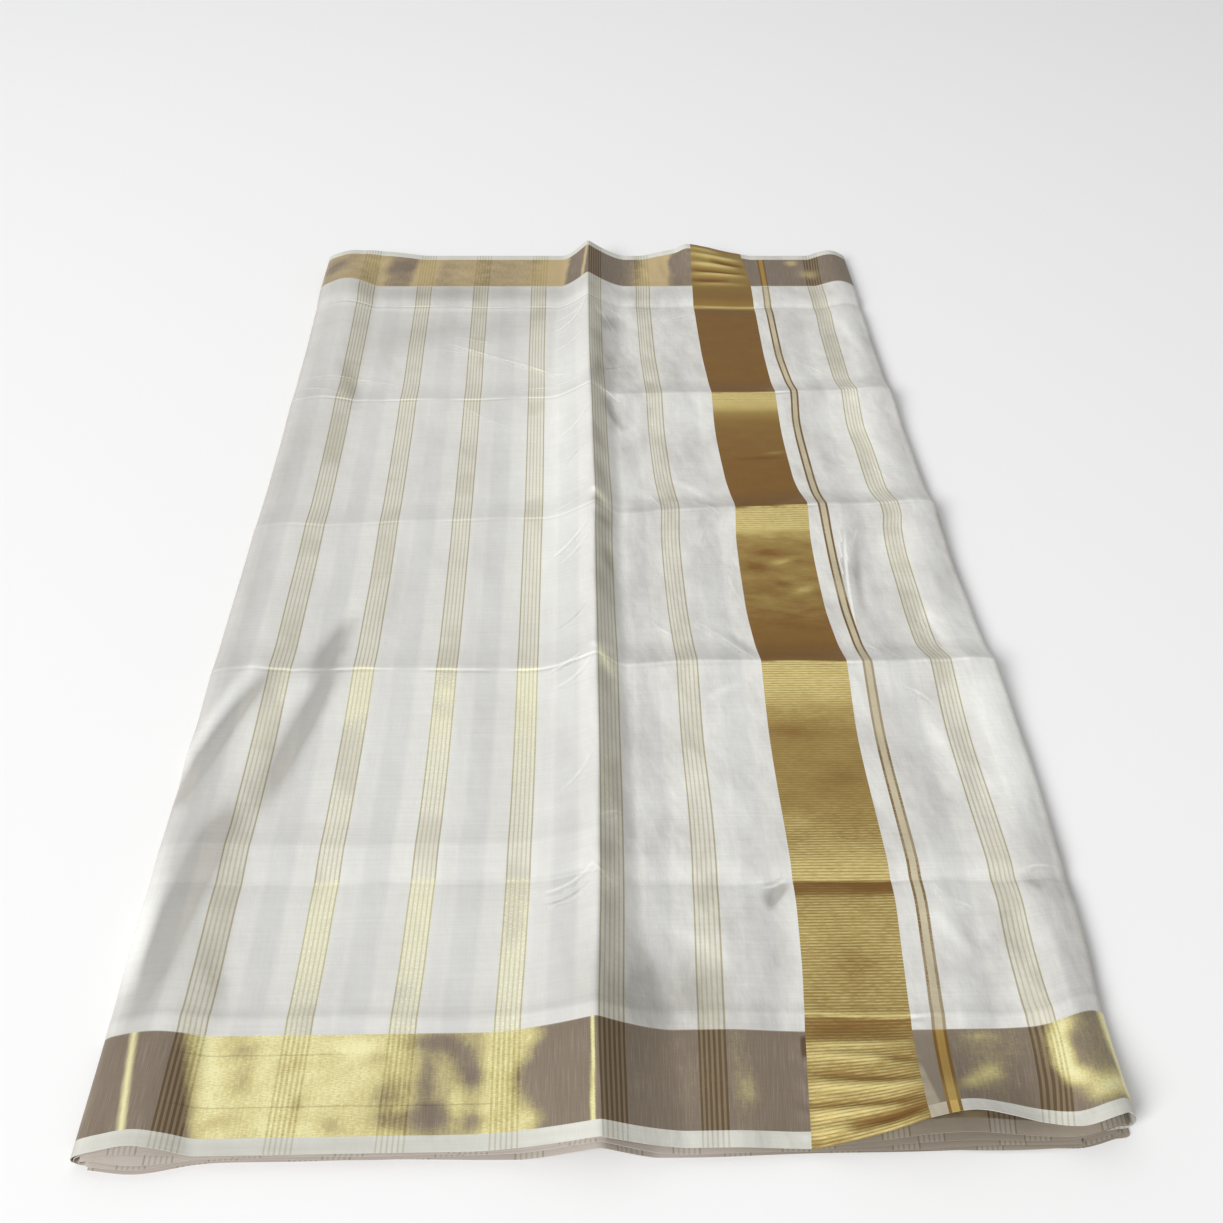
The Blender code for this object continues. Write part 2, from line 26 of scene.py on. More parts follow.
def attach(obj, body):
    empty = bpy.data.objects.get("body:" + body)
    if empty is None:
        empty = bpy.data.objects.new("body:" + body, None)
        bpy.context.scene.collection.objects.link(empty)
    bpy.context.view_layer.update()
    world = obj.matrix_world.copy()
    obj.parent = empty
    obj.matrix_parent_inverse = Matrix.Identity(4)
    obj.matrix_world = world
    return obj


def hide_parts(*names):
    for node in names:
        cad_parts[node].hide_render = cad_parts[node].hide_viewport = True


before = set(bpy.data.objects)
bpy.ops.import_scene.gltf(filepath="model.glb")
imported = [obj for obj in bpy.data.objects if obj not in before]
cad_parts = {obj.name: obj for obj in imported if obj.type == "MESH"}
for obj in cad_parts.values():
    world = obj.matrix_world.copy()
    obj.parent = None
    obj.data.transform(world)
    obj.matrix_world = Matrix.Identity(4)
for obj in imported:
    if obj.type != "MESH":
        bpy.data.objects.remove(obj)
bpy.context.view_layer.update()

LOG = logging.getLogger("saree")
MM = 0.001
UV_NAME = "cloth"
BODY = "root"
GRADING_POINTS = 4001

Array = np.ndarray
Pair = tuple[float, float]
Socket = bpy.types.NodeSocket


def records(kind: type, *table: Sequence[float]) -> tuple[Any, ...]:
    """One record of a kind from each row of a table."""
    return tuple(kind(*row) for row in table)


@dataclass(frozen=True)
class ClothSizes:
    """Driving sizes of the cloth and of its folded stack, in metres."""

    width: float = 1.160
    selvedge: float = 0.0107
    border: float = 0.0692
    thickness: float = 0.0004
    stack_top: float = 0.0120
    left_turn: float = 0.010
    right_turn: float = 0.008
    x_origin: float = 0.0037
    u_left: float = -0.3430
    u_centre: float = -0.0065
    u_band_start: float = 0.1370
    u_band_end: float = 0.2095
    u_double: float = 0.2255
    u_right: float = 0.3450

    @property
    def near(self) -> float:
        """y of the near selvedge's edge."""
        return -self.width / 2

    @property
    def hem(self) -> float:
        """Width of the selvedge and the border together."""
        return self.selvedge + self.border

    @property
    def flat_left(self) -> float:
        """u where the flat top ends and the left fold's turn starts."""
        return self.u_left + self.left_turn

    @property
    def flat_right(self) -> float:
        """u where the flat top ends and the right fold's turn starts."""
        return self.u_right - self.right_turn


SIZES = ClothSizes()


@dataclass(frozen=True)
class Drift:
    """x of each line of the weave where it is at y, in millimetres."""

    at: float
    left: float
    stripe: float
    centre: float
    band_start: float
    band_end: float
    double: float
    right: float


DRIFT = records(
    Drift,
    (-580, -342.7, -151, -7.6, 128, 202.5, 214, 338.5),
    (-500, -342.7, -150.4, -9.2, 134.5, 208.5, 222.3, 341.5),
    (-445, -343, -148.5, -7.8, 139.2, 212.5, 227, 347.5),
    (-385, -343.5, -147.3, -6.3, 141, 215.5, 229.8, 349.2),
    (-250, -342.8, -145.3, -5.3, 138.8, 212.8, 227.2, 352.9),
    (-165, -342.3, -145.2, -5.2, 139.4, 214.7, 228.2, 348.8),
    (-80, -341.9, -145.2, -5.4, 134.5, 208, 222.2, 344.8),
    (0, -341, -145.3, -5.4, 134.1, 207.4, 221.2, 342.2), (60, -340.4, -145.9, -4.6, 137, 210, 220, 340.4),
    (110, -339.9, -146.4, -5, 132.2, 203.2, 216.8, 339),
    (200, -340.2, -147.2, -6.2, 128.6, 200.7, 214.5, 336.5),
    (258, -340.5, -147.5, -6.9, 129.2, 200.8, 217.7, 335),
    (350, -341.2, -149.3, -8.4, 125.2, 198.5, 211.6, 333),
    (455, -343.5, -151, -8, 123.7, 199, 211.8, 331.8),
    (500, -345.5, -151.7, -7.8, 125, 199.6, 213.3, 331.6),
    (580, -345.5, -151.7, -6.5, 126.5, 193.5, 214.5, 330),
)
U_STRIPE = -0.1483


@dataclass(frozen=True)
class Stop:
    """A point of a curve: where it lies, in millimetres, and the value there."""

    at: float
    value: float


# x of two more lines of the weave where they cross y, in millimetres.
LAST_CLUSTER = records(
    Stop,
    (-580, 288), (-540, 296), (-500, 299.5), (-445, 299.5), (-385, 301.8), (-310, 300.3), (-250, 298.5),
    (-165, 298.3), (-132, 292.3), (-80, 290.2), (-10, 289.6), (20, 291), (42, 294.5), (70, 291.5),
    (100, 288), (160, 286.4), (200, 283.5), (258, 285), (300, 282.3), (390, 281.8), (440, 283.5),
    (500, 281.6), (580, 286),
)
U_LAST = 0.2908
MIDDLE_CLUSTER = records(
    Stop,
    (-580, 65.9), (-480, 70), (-320, 75), (-240, 73.6), (-160, 74), (-80, 70.3), (0, 68.9), (60, 71),
    (110, 66.6), (200, 63.6), (258, 63.8), (350, 60.4), (455, 59.7), (500, 61), (580, 61),
)
U_MIDDLE = 0.0760


@dataclass(frozen=True)
class Ridge:
    """Height of the long centre crease at y, and how far each flank runs, in millimetres."""

    at: float
    height: float
    left: float
    right: float


RIDGE = records(
    Ridge,
    (-580, 20, 80, 55), (-500, 22, 72, 50), (-400, 20, 54, 30), (-100, 19, 50, 25), (200, 19, 47, 27),
    (420, 19, 38, 38), (500, 20, 32, 44), (580, 22, 30, 46),
)


@dataclass(frozen=True)
class Fold:
    """Height of the bulge along the left and the right fold at y, in millimetres."""

    at: float
    left: float
    right: float


FOLDS = records(
    Fold,
    (-580, 4, 6), (-520, 9.5, 8), (-440, 8, 4.5), (-250, 5, 3.5), (0, 4, 3), (250, 5, 3), (420, 7.5, 5),
    (500, 12, 7.5), (580, 8.5, 8),
)


@dataclass(frozen=True)
class Crease:
    """A fold pressed across the length: its y and height at each end, and each flank, in millimetres."""

    y_left: float
    y_right: float
    left: float
    right: float
    far_flank: float
    near_flank: float


CREASES = records(
    Crease,
    (455, 455, -1.5, -3, 14, 26), (246, 257, 3.5, 8, 34, 80), (31, 58, 3, 9, 32, 85),
    (-163, -163, 3.5, 9.5, 32, 80), (-347, -345, 2, 0, 24, 30), (-378, -381, -1.5, -3, 16, 24),
    (-489, -489, 1.2, 1.2, 8, 10),
)


@dataclass(frozen=True)
class Pressed:
    """How bright the painted highlight line of each pressed crease shows at x, from the far crease to the
    near one.
    """

    at: float
    far: float
    upper: float
    middle: float
    lower: float
    faint: float
    pleat: float
    near: float


PRESSED = records(
    Pressed,
    (-345, 0.5, 0.45, 0.15, 0.3, 0, 0.08, 0), (-275, 0.7, 0.6, 0.22, 0.6, 0, 0.12, 0),
    (-150, 0.6, 0.65, 0.3, 0.75, 0, 0.15, 0), (-20, 0.65, 0.5, 0.35, 0.7, 0, 0.2, 0),
    (30, 0.25, 0.15, 0.15, 0.2, 0, 0.15, 0), (126, 0.3, 0.2, 0.2, 0.2, 0, 0.25, 0.05),
    (142, 0.9, 1, 1, 1, 0, 0.8, 1), (205, 0.9, 1, 1, 1, 0, 0.8, 1),
    (225, 0.3, 0.25, 0.25, 0.3, 0, 0.35, 0.15), (345, 0.35, 0.25, 0.25, 0.3, 0, 0.15, 0),
)


@dataclass(frozen=True)
class Lift:
    """How far the near edge is lifted and set back at x, in millimetres."""

    at: float
    height: float
    back: float


NEAR_LIFT = records(
    Lift,
    (-345, 0, 0), (-325, 5, 1), (-303, 6.5, 3), (-284, 4.5, 1.8), (-262, 0, 0), (128, 0, 0), (148, 6, 1),
    (180, 15, 5), (205, 24, 9.5), (222, 25, 12.5), (240, 20, 15), (258, 15, 13.5), (284, 9, 9.5),
    (303, 10, 5), (320, 13, 4), (338, 11, 5.5), (346, 6, 6),
)


# Height of the bunched far edge at x, in millimetres.
FAR_BUNCH = records(
    Stop,
    (-300, 0), (-272, 6), (-240, 3), (-215, 0), (60, 0), (84, 5), (106, 10), (122, 17), (146, 13), (170, 7),
    (205, 0),
)


@dataclass(frozen=True)
class Wrinkle:
    """A soft ridge, or a trough where its height is negative, between two places, in millimetres."""

    x_start: float
    y_start: float
    x_end: float
    y_end: float
    height: float
    width: float
    bow: float = 0.0


WRINKLES = records(
    Wrinkle,
    # The field left of the centre crease.
    (-176, 367, -26, 288, 1.3, 3, 1), (-166, 381, -112, 364, 0.7, 2.6), (-190, 352, -148, 344, 0.5, 2.6, 1),
    (-90, 266, -14, 276, 0.9, 2.8, 2), (-330, 268, -286, 256, 0.8, 2.8, 2),
    (-62, 389, -13, 439, 1.3, 3.4, -12), (-53, 418, -10, 449, 0.9, 2.8, -11),
    (-59, 349, -13, 377, 1, 3, -8), (-334, 287, -222, 277, 0.8, 2.8, 9), (-300, 334, -262, 226, -0.7, 9, 5),
    (-150, 236, -92, 196, 0.5, 3, -3), (-42, 176, -12, 214, 0.9, 3.2, -6),
    (-34, 120, -11, 148, -0.8, 3.6, 3), (-52, 49, -12, 66, 0.8, 3, -2), (-54, -24, -11, 22, 1.3, 3.2, -4),
    (-38, -30, -12, 0, 0.9, 2.8, -2), (-226, -92, -254, -178, -1.5, 9, -3),
    (-226, -150, -271, -318, -1.9, 11, -6), (-250, -160, -300, -300, 0.9, 10, -8),
    (-296, -150, -352, -300, 1.4, 7, -4), (-283, -158, -341, -309, -2.2, 6.5, -4),
    (-288, -300, -318, -462, -2.2, 12, -5), (-335, -370, -334, -470, 1.6, 8, 2),
    (-288, -420, -262, -500, -0.8, 8, 3), (-53, -172, -14, -154, 1.2, 3, -3),
    (-42, -190, -9, -165, 1, 2.8, -5), (-44, -118, -12, -92, -0.8, 3.6, -4),
    (-56, -390, -10, -374, 1.4, 3.4, -8), (-50, -402, -12, -390, -1, 3.2, -5),
    (-36, -300, -11, -268, 0.8, 3, -4),
    # The near border left of it.
    (-132, -520, -113, -572, -0.9, 6, 4), (-108, -500, -86, -540, -0.8, 7, -5),
    (-60, -516, -38, -570, 0.6, 6, 3),
    # Between the centre crease and the band.
    (-6, 442, 24, 384, 1.2, 3.2, 4), (4, 448, 40, 420, 0.8, 2.6, 3), (-8, 262, 27, 238, 1.3, 3.2, 3),
    (44, 447, 76, 441, 0.7, 2.8, 1), (84, 420, 120, 438, 0.7, 2.8, -3), (8, 300, 40, 322, -0.7, 3.4, 3),
    (12, 244, 33, 190, -1.4, 5, -3), (-8, 74, 12, 40, 1.5, 4, 3), (-2, 24, 14, -62, -1, 5, 2),
    (-10, -146, 10, -184, 1.3, 4, 3), (49, 84, 62, 57, 0.9, 2.8, 1), (74, 108, 118, 66, 0.7, 5, 4),
    (96, -3, 105, 25, 0.8, 2.6, 1), (122, -38, 126, -68, 0.8, 2.6), (42, -98, 66, -123, 1.1, 3.2, -2),
    (88, -206, 126, -186, 0.8, 4, 4), (-5, -334, 14, -319, 1.1, 3, 1), (-12, -374, 4, -388, 1.3, 3.2, -1),
    (138, -382, 121, -406, -1.8, 5, -4), (136, -379, 115, -387, 1.2, 3.6, 2),
    (88, -104, 138, -166, 0.9, 3.6, 4), (110, -112, 138, -152, -0.9, 4.4, 3),
    (86, 70, 120, 40, 0.9, 3.6, 3), (66, 70, 90, 54, 0.8, 3.4, 2), (28, -414, 92, -452, 0.6, 7, 6),
    # Right of the band.
    (245, 27, 233, -112, 2.6, 3, -3), (256, 22, 240, -26, 1.3, 2.8, -1),
    (254, 12, 243, -104, -1.5, 4.4, -2), (280, 259, 296, 266, 0.9, 2.8, 1),
    (230, 330, 262, 300, 0.7, 3.2, 3), (288, 130, 312, 92, 0.8, 3.2, -3),
    (258, -190, 286, -214, 0.7, 3.2, 3), (236, -133, 256, -158, 1.1, 3, 1),
    (247, -130, 264, -161, 0.9, 2.8, 1), (280, -144, 286, -171, 0.9, 2.8),
    (290, -98, 307, -164, 1.2, 3.6, 2), (299, -100, 305, -150, -0.9, 4.2, 1),
    (246, -384, 272, -406, 0.9, 3.4, -3), (313, -376, 343, -374, 0.8, 3.2, 2),
    (316, -378, 329, -394, -0.9, 4.2), (278, 270, 296, 244, 0.9, 3.2, 2), (300, -76, 322, -172, 0.9, 7, -4),
    (272, -206, 290, -306, 1, 8, 4), (238, -404, 262, -448, 0.9, 6, 3), (296, -402, 316, -494, -0.8, 8, -4),
    (296, 420, 318, 322, 0.8, 7, 4),
    # The far border.
    (-250, 520, -228, 572, -0.9, 6, -3), (-196, 506, -140, 548, 0.7, 8, 5), (56, 560, 74, 512, 0.9, 5, 3),
    (88, 572, 98, 516, -1, 5, -3), (262, 512, 282, 566, 0.9, 6, 4),
)

PUCKERS = records(
    Wrinkle,
    # Where the band crosses the near border.
    (124, -499, 210, -498, -0.8, 6), (122, -509, 210, -511, 1.3, 2.8, -1),
    (122, -517, 212, -529, 1.7, 3.2, 2), (180, -523, 211, -528, -1.9, 2.8, 1),
    (128, -528, 210, -543, -1.6, 2.8, -1), (121, -538, 212, -550, 2, 3.6, 1),
    (121, -545, 196, -555, 1.2, 2.6, -2), (120, -550, 212, -562, -2, 2.8, 1),
    (121, -559, 190, -564, 1.9, 4, 2), (150, -568, 212, -567, -1.8, 4.6, -2),
    (119, -572, 158, -571, 1.3, 3.2, 1), (146, -576, 206, -577, 1, 3.4),
    # Where it crosses the far border.
    (119, 506, 199, 503, 1.3, 3.6, 1), (118, 516, 176, 515, -1.2, 3.6, -1),
    (122, 525, 199, 523, 1.7, 3.8, 2), (118, 534, 199, 531, -1.5, 3.2, -1),
    (120, 543, 190, 541, 1.9, 3.8, 1), (150, 552, 198, 548, -1.6, 3.4, 1), (118, 560, 196, 560, 1.8, 4, -1),
    (118, 572, 170, 570, 1.2, 3.4),
)

UNDERSIDE = records(
    Wrinkle,
    (-260, -420, -120, -300, 0.9, 9, 14), (-290, 40, -210, 190, 0.7, 8, -10),
    (-180, -60, -40, -110, 0.8, 10, 9), (-240, 330, -90, 300, 1, 9, -8), (-80, 120, -20, 260, 0.7, 7, 6),
    (40, -500, 120, -360, 0.9, 9, -12), (60, -120, 230, -170, 0.8, 11, 10), (160, 60, 280, 160, 0.9, 9, 8),
    (90, 330, 190, 470, 0.7, 8, -9), (250, -340, 300, -220, 1, 8, 5), (-60, -300, 30, -210, 0.6, 7, 4),
)


@dataclass(frozen=True)
class Patch:
    """A soft patch on the cloth: its middle, reach along and across, turn and amount.

    Lengths are in millimetres and the turn in degrees. The amount is a height in millimetres, or a
    share of a sheen.
    """

    x: float
    y: float
    along: float
    across: float
    degrees: float
    amount: float


SWELLS = records(
    Patch,
    # Left of the centre crease.
    (-230, 350, 80, 36, 20, 1.2), (-125, 400, 66, 24, -20, -1.1), (-66, 330, 46, 22, 40, 1),
    (-300, 408, 34, 52, 80, 0.8), (-250, 150, 76, 36, 70, 1.1), (-150, 190, 56, 26, -15, -0.9),
    (-90, 110, 50, 26, 30, 1), (-296, 92, 56, 22, 85, -0.8), (-215, -50, 66, 26, 60, -1.2),
    (-130, -36, 54, 30, -20, 1), (-62, -92, 44, 20, 45, -0.8), (-304, -64, 46, 26, 80, 1.1),
    (-284, -250, 80, 20, 70, -1.3), (-196, -286, 62, 34, 80, 0.9), (-120, -232, 54, 28, 10, 0.8),
    (-66, -322, 46, 24, 60, -0.7), (-246, -440, 54, 22, 85, 0.7), (-172, -430, 60, 24, 0, -0.6),
    (-94, -452, 44, 24, 20, 0.7), (-40, -474, 28, 16, 45, 0.5),
    # Between the centre crease and the band.
    (50, 360, 54, 26, 70, -1), (102, 302, 36, 22, -40, 0.9), (60, 172, 62, 22, 75, 0.9),
    (94, 98, 44, 20, -60, -0.9), (50, -22, 44, 22, 80, 0.8), (102, -112, 38, 20, 45, -0.9),
    (58, -232, 54, 24, 70, 0.9), (102, -302, 44, 22, -50, 1), (62, -442, 44, 24, 60, -0.7),
    (108, -452, 34, 18, -40, 0.8),
    # On the band.
    (164, 32, 26, 16, 0, 0.8), (182, -62, 26, 14, 30, -0.9), (176, -8, 22, 12, -20, 0.7),
    (150, -250, 32, 34, 90, 0.5),
    # Right of the band.
    (284, 330, 44, 22, 75, 0.9), (250, 200, 54, 16, 80, -0.9), (302, 122, 44, 20, 70, 1),
    (264, 10, 54, 15, 85, -1.1), (292, -62, 36, 20, -60, 1.1), (276, -192, 34, 20, 60, 1.2),
    (304, -284, 54, 18, 75, -1), (256, -372, 44, 18, 80, 0.9), (300, -462, 38, 20, -70, -0.8),
    (254, -474, 26, 15, 60, 0.7),
)

# Patches of painted light and painted shade on the cotton, lighter above 0 and darker below.
PAINTED_LIGHT_PATCHES = records(
    Patch,
    (-118, 412, 90, 34, 8, -0.4), (-240, 400, 90, 60, 0, -0.3), (-173, 486, 170, 24, 0, -0.9),
    (62, 484, 60, 20, 0, -0.45), (248, 484, 60, 20, 0, -0.3), (-173, 446, 150, 5, 0, 0.5),
    (18, 405, 9, 14, -20, -0.9), (3, 300, 5, 22, 0, -0.8), (5, 363, 5, 16, 0, -0.7),
    (8, 424, 6, 9, 35, 0.6), (14, 250, 12, 5, -20, 0.8), (1, 162, 5, 24, 6, -0.6), (3, 100, 6, 20, 8, -0.7),
    (0, 64, 9, 7, 0, 1), (17, 56, 12, 8, 0, 0.7), (-3, 46, 5, 6, 0, -0.8), (2, 24, 9, 7, -20, -0.7),
    (4, -6, 8, 8, 10, 0.4), (2, -60, 7, 18, 0, -0.4), (3, -150, 9, 7, 20, 0.8), (2, -190, 7, 14, 0, -0.5),
    (4, -330, 9, 8, 20, 0.6), (0, -362, 7, 10, 0, -0.6), (4, -386, 9, 7, 20, 0.7),
    (2, -410, 7, 12, 0, -0.5), (-250, 350, 60, 34, 25, -0.2), (-50, 130, 30, 220, 0, 0.7),
    (-300, 200, 34, 120, 0, -0.25), (-196, -62, 13, 52, -12, -0.35), (-328, 0, 18, 500, 0, -0.5),
    (-234, -140, 8, 40, -14, -0.7), (-248, -214, 9, 66, -13, -0.45), (-312, -240, 6, 60, -21, -0.5),
    (-300, -350, 13, 50, -12, -0.4), (-318, -446, 13, 46, -4, -1.05), (-322, -320, 20, 190, 0, -0.2),
    (-340, -420, 7, 60, 0, 0.7), (-180, -480, 150, 30, 0, -0.15), (-26, -400, 16, 110, 0, -0.25),
    (-160, -240, 60, 90, 0, 0.25), (-130, -380, 70, 60, 0, 0.25), (16, 350, 16, 90, 6, -0.25),
    (16, 216, 14, 40, 20, -0.35), (12, -20, 12, 60, 4, -0.25), (60, 330, 50, 70, 0, -0.3),
    (70, 0, 46, 60, 0, -0.2), (38, -250, 14, 60, 0, -0.45), (92, -260, 30, 60, -20, 0.25),
    (36, -478, 46, 30, 0, -1.1), (252, 40, 9, 90, 6, -0.3), (284, 173, 24, 60, -6, 0.6),
    (291, -21, 20, 40, -10, 0.45), (277, -240, 24, 40, 20, -0.3), (334, -240, 16, 90, 0, 1.3),
    (268, -100, 20, 60, 8, -0.25), (268, -440, 30, 60, 0, -0.2), (334, -395, 16, 54, 0, -0.6),
    (129, -393, 2.6, 11, -38, -0.8), (-230, -576, 150, 6, 0, -0.35), (116, -382, 6, 5, 0, 0.7),
    (230, 380, 26, 70, 6, -0.2),
)


# Painted reflection on the zari along the borders, the band and the stripes: 0 for dull, 1 for bright gold.
NEAR_GOLD_SHEEN = records(
    Stop,
    (-348, 0.25), (-332, 0.05), (-300, -0.05), (-284, 0), (-274, 0.6), (-262, 0.95), (-246, 0.75),
    (-225, 0.9), (-180, 0.85), (-140, 0.75), (-126, 0.6), (-92, 0.55), (-78, 0.85), (-62, 0.8), (-53, 0.5),
    (-46, 0.08), (-28, 0.02), (-13.6, 0.06), (-12.4, 0.95), (-11, 0.9), (-9.6, 0), (20, 0), (76, 0.03),
    (84, 0.17), (91, 0.15), (98, 0.03), (126, 0.05), (226, 0.08), (240, 0.16), (256, 0.22), (270, 0.12),
    (290, 0.08), (312, 0.12), (322, 0.24), (335, 0.26), (340, 1.1), (348, 1.1),
)

FAR_GOLD_SHEEN = records(
    Stop,
    (-350, 0.5), (-326, 0.5), (-298, 0.62), (-270, 0.66), (-254, 0.36), (-234, 0.32), (-223, 0.74),
    (-208, 0.72), (-190, 0.48), (-160, 0.58), (-120, 0.5), (-85, 0.54), (-62, 0.76), (-38, 0.8),
    (-28, 0.08), (-14, 0.05), (-11.5, 0.8), (-9.5, 0.8), (-8, 0), (30, 0.03), (42, 0.18), (56, 0.45),
    (70, 0.8), (92, 0.85), (101, 0.3), (112, 0.12), (123, 0.22), (226, 0.05), (262, 0.1), (302, 0.1),
    (335, 0.12), (345, 0.25),
)

BAND_GOLD_SHEEN = records(
    Stop,
    (-583, 0.55), (-545, 0.6), (-512, 0.58), (-506, 0.32), (-492, 0.35), (-489.6, 0.95), (-486, 0.6),
    (-440, 0.66), (-397, 0.6), (-391, 0.06), (-382, 0.03), (-379.6, 0.9), (-362, 0.78), (-338, 0.52),
    (-300, 0.42), (-244, 0.44), (-214, 0.6), (-200, 0.84), (-180, 0.95), (-164.6, 0.95), (-162.6, 0.04),
    (-106, 0.06), (-92, 0.2), (-62, 0.24), (-44, 0.4), (-20, 0.3), (0, 0.42), (14, 0.66), (22, 0.95),
    (49.6, 0.95), (51.6, 0.03), (120, 0.05), (160, 0.09), (202, 0.15), (215, 0.36), (230, 0.82),
    (251.6, 0.96), (253.6, 0.03), (330, 0.05), (445, 0.04), (449, 0.7), (454.6, 0.8), (457, 0.2),
    (475, 0.14), (504, 0.22), (522, 0.34), (560, 0.42), (580, 0.28),
)

STRIPE_GOLD_SHEEN = records(
    Stop,
    (-500, 0.62), (-440, 0.78), (-400, 0.95), (-379, 0.9), (-375, 0.42), (-330, 0.4), (-262, 0.55),
    (-215, 0.8), (-174, 0.95), (-164, 0.85), (-158, 0.3), (-110, 0.24), (30, 0.12), (50, 0.3), (58, 0.05),
    (220, 0.08), (247, 0.42), (257, 0.04), (430, 0.06), (446, 0.32), (500, 0.05),
)

# Patches of painted reflection on the zari, brighter gold above 0 and duller below.
GOLD_SHEEN_PATCHES = records(
    Patch,
    # The near border, left of the centre crease.
    (-244, -509, 12, 6, 0, -0.29), (-241, -526, 7, 12, 0, -0.25), (-204, -548, 5, 10, 0, -0.32),
    (-256, -559, 8, 6, 20, -0.32), (-212, -522, 9, 6, 20, -0.18), (-181, -562, 10, 8, -20, -0.32),
    (-168, -510, 16, 6, -10, 0.3), (-155, -517, 7, 6, 0, -0.29), (-149, -545, 11, 12, -20, -0.36),
    (-143, -560, 14, 7, 0, -0.32), (-121, -528, 6, 16, 0, -0.36), (-117, -557, 15, 13, 0, -0.47),
    (-126, -506, 12, 7, -10, -0.22), (-108, -508, 16, 8, -24, -0.4), (-93, -527, 9, 14, 24, -0.4),
    (-88, -561, 7, 6, 0, -0.29), (-101, -548, 5, 12, 0, 0.35), (-57, -535, 9, 15, 0, -0.5),
    (-48, -505, 8, 9, 0, 0.34), (-49, -564, 8, 9, 0, 0.34),
    # The near border, right of it.
    (92, -541, 7, 9, 0, 0.26), (50, -530, 50, 50, 0, 0.15), (276, -514, 40, 26, 0, 0.12),
    (238, -551, 13, 7, 24, 0.45), (253, -541, 12, 8, 34, 0.3), (249, -507, 12, 4, 0, 0.12),
    (309, -504, 8, 8, 0, 0.75), (304, -519, 6, 12, 6, 0.95), (303, -534, 6, 10, 0, 0.9),
    (309, -545, 9, 7, -24, 0.7), (326, -557, 17, 9, 0, 0.75), (286, -548, 8, 16, 0, -0.15),
    # The far border.
    (258, 560, 9, 9, 0, 0.55), (278, 530, 12, 13, 30, 0.5), (-330, 540, 18, 12, 30, -0.3),
    (-252, 545, 20, 12, 30, -0.25), (104, 548, 8, 14, 30, -0.4),
    # The band.
    (190, 151, 12, 2.2, 8, 0.4), (172, 141, 22, 1.6, 4, -0.3), (165, -12, 16, 6, -24, -0.25),
    (178, -22, 14, 4, 20, 0.4), (150, -30, 14, 8, -10, -0.2), (192, -62, 13, 5, 12, 0.45),
    (170, -50, 14, 5, -30, -0.2), (160, -76, 22, 8, 10, 0.2), (160, -236, 26, 7, -6, -0.3),
    (192, -286, 22, 9, 10, -0.22), (146, -330, 24, 9, 0, 0.2), (176, -452, 18, 16, 20, -0.22),
    # The stripes beside the centre crease.
    (0, -164, 10, 16, 0, 0.6), (2, 56, 10, 14, 0, 0.6), (4, -300, 10, 40, 0, 0.4),
)


@dataclass(frozen=True)
class HiddenLayer:
    """How one lower layer lies: shares of the stack's height, of the loops above and of the lift.

    The edge is how far its near and far edges lie inside the top layer's, in millimetres, with the
    size of their waves, and the phase sets where those waves start.
    """

    height: float
    loops: float
    lift_left: float
    lift_right: float
    back: float
    edge: float
    wave: float
    phase: float


# The layers under the top one, which is number 1.
HIDDEN = dict(enumerate(records(
    HiddenLayer,
    (0.8125, 0.72, 0.1, 0.42, 0.45, 0.6, 1.2, 0.4), (0.6875, 0.45, 0, 0.12, 0.18, 1.6, 1, 2.1),
    (0.5625, 0.2, 0, 0, 0, -0.3, 1.3, 3.9), (0.4375, 0, 0, 0, 0, 2.4, 1.6, 5.2),
    (0.3125, 0, 0, 0, 0, 0.8, 1.4, 0.9), (0.1875, 0, 0, 0, 0, 1.8, 1, 2.8), (0, 0, 0, 0, 0, -0.4, 0.9, 4.4),
), 2))
BOTTOM = 8


def smooth(value: Array) -> Array:
    """Ease from 0 to 1 with no slope at either end: 3 t squared less 2 t cubed."""
    value = np.clip(value, 0, 1)
    return value * value * (3 - 2 * value)


def eased(value: Array, start: float, end: float) -> Array:
    """0 up to the start and 1 past the end, eased between. The end may be the lower one."""
    return smooth((value - start) / (end - start))


def falling(distance: Array, reach: Array, power: float, rounding: float) -> Array:
    """A crest's fall: (1 - d / reach) to the power, where the rounding softens d on the crest."""
    soft = np.sqrt(distance ** 2 + rounding ** 2) - rounding
    return np.clip(1 - soft / reach, 0, 1) ** power


def patches(x: Array, y: Array, table: Sequence[Patch]) -> Array:
    """Sum of the patches in a table at each place: a turned bell curve for each.

    Args:
        x, y: the places.
        table: the patches.

    Returns:
        The sum at each place, in the patches' own unit.
    """
    total = np.zeros_like(x)
    for row in table:
        turn = math.radians(row.degrees)
        dx, dy = x - row.x * MM, y - row.y * MM
        along = (dx * math.cos(turn) + dy * math.sin(turn)) / (row.along * MM)
        across = (dy * math.cos(turn) - dx * math.sin(turn)) / (row.across * MM)
        total += row.amount * np.exp(-along ** 2 - across ** 2)
    return total


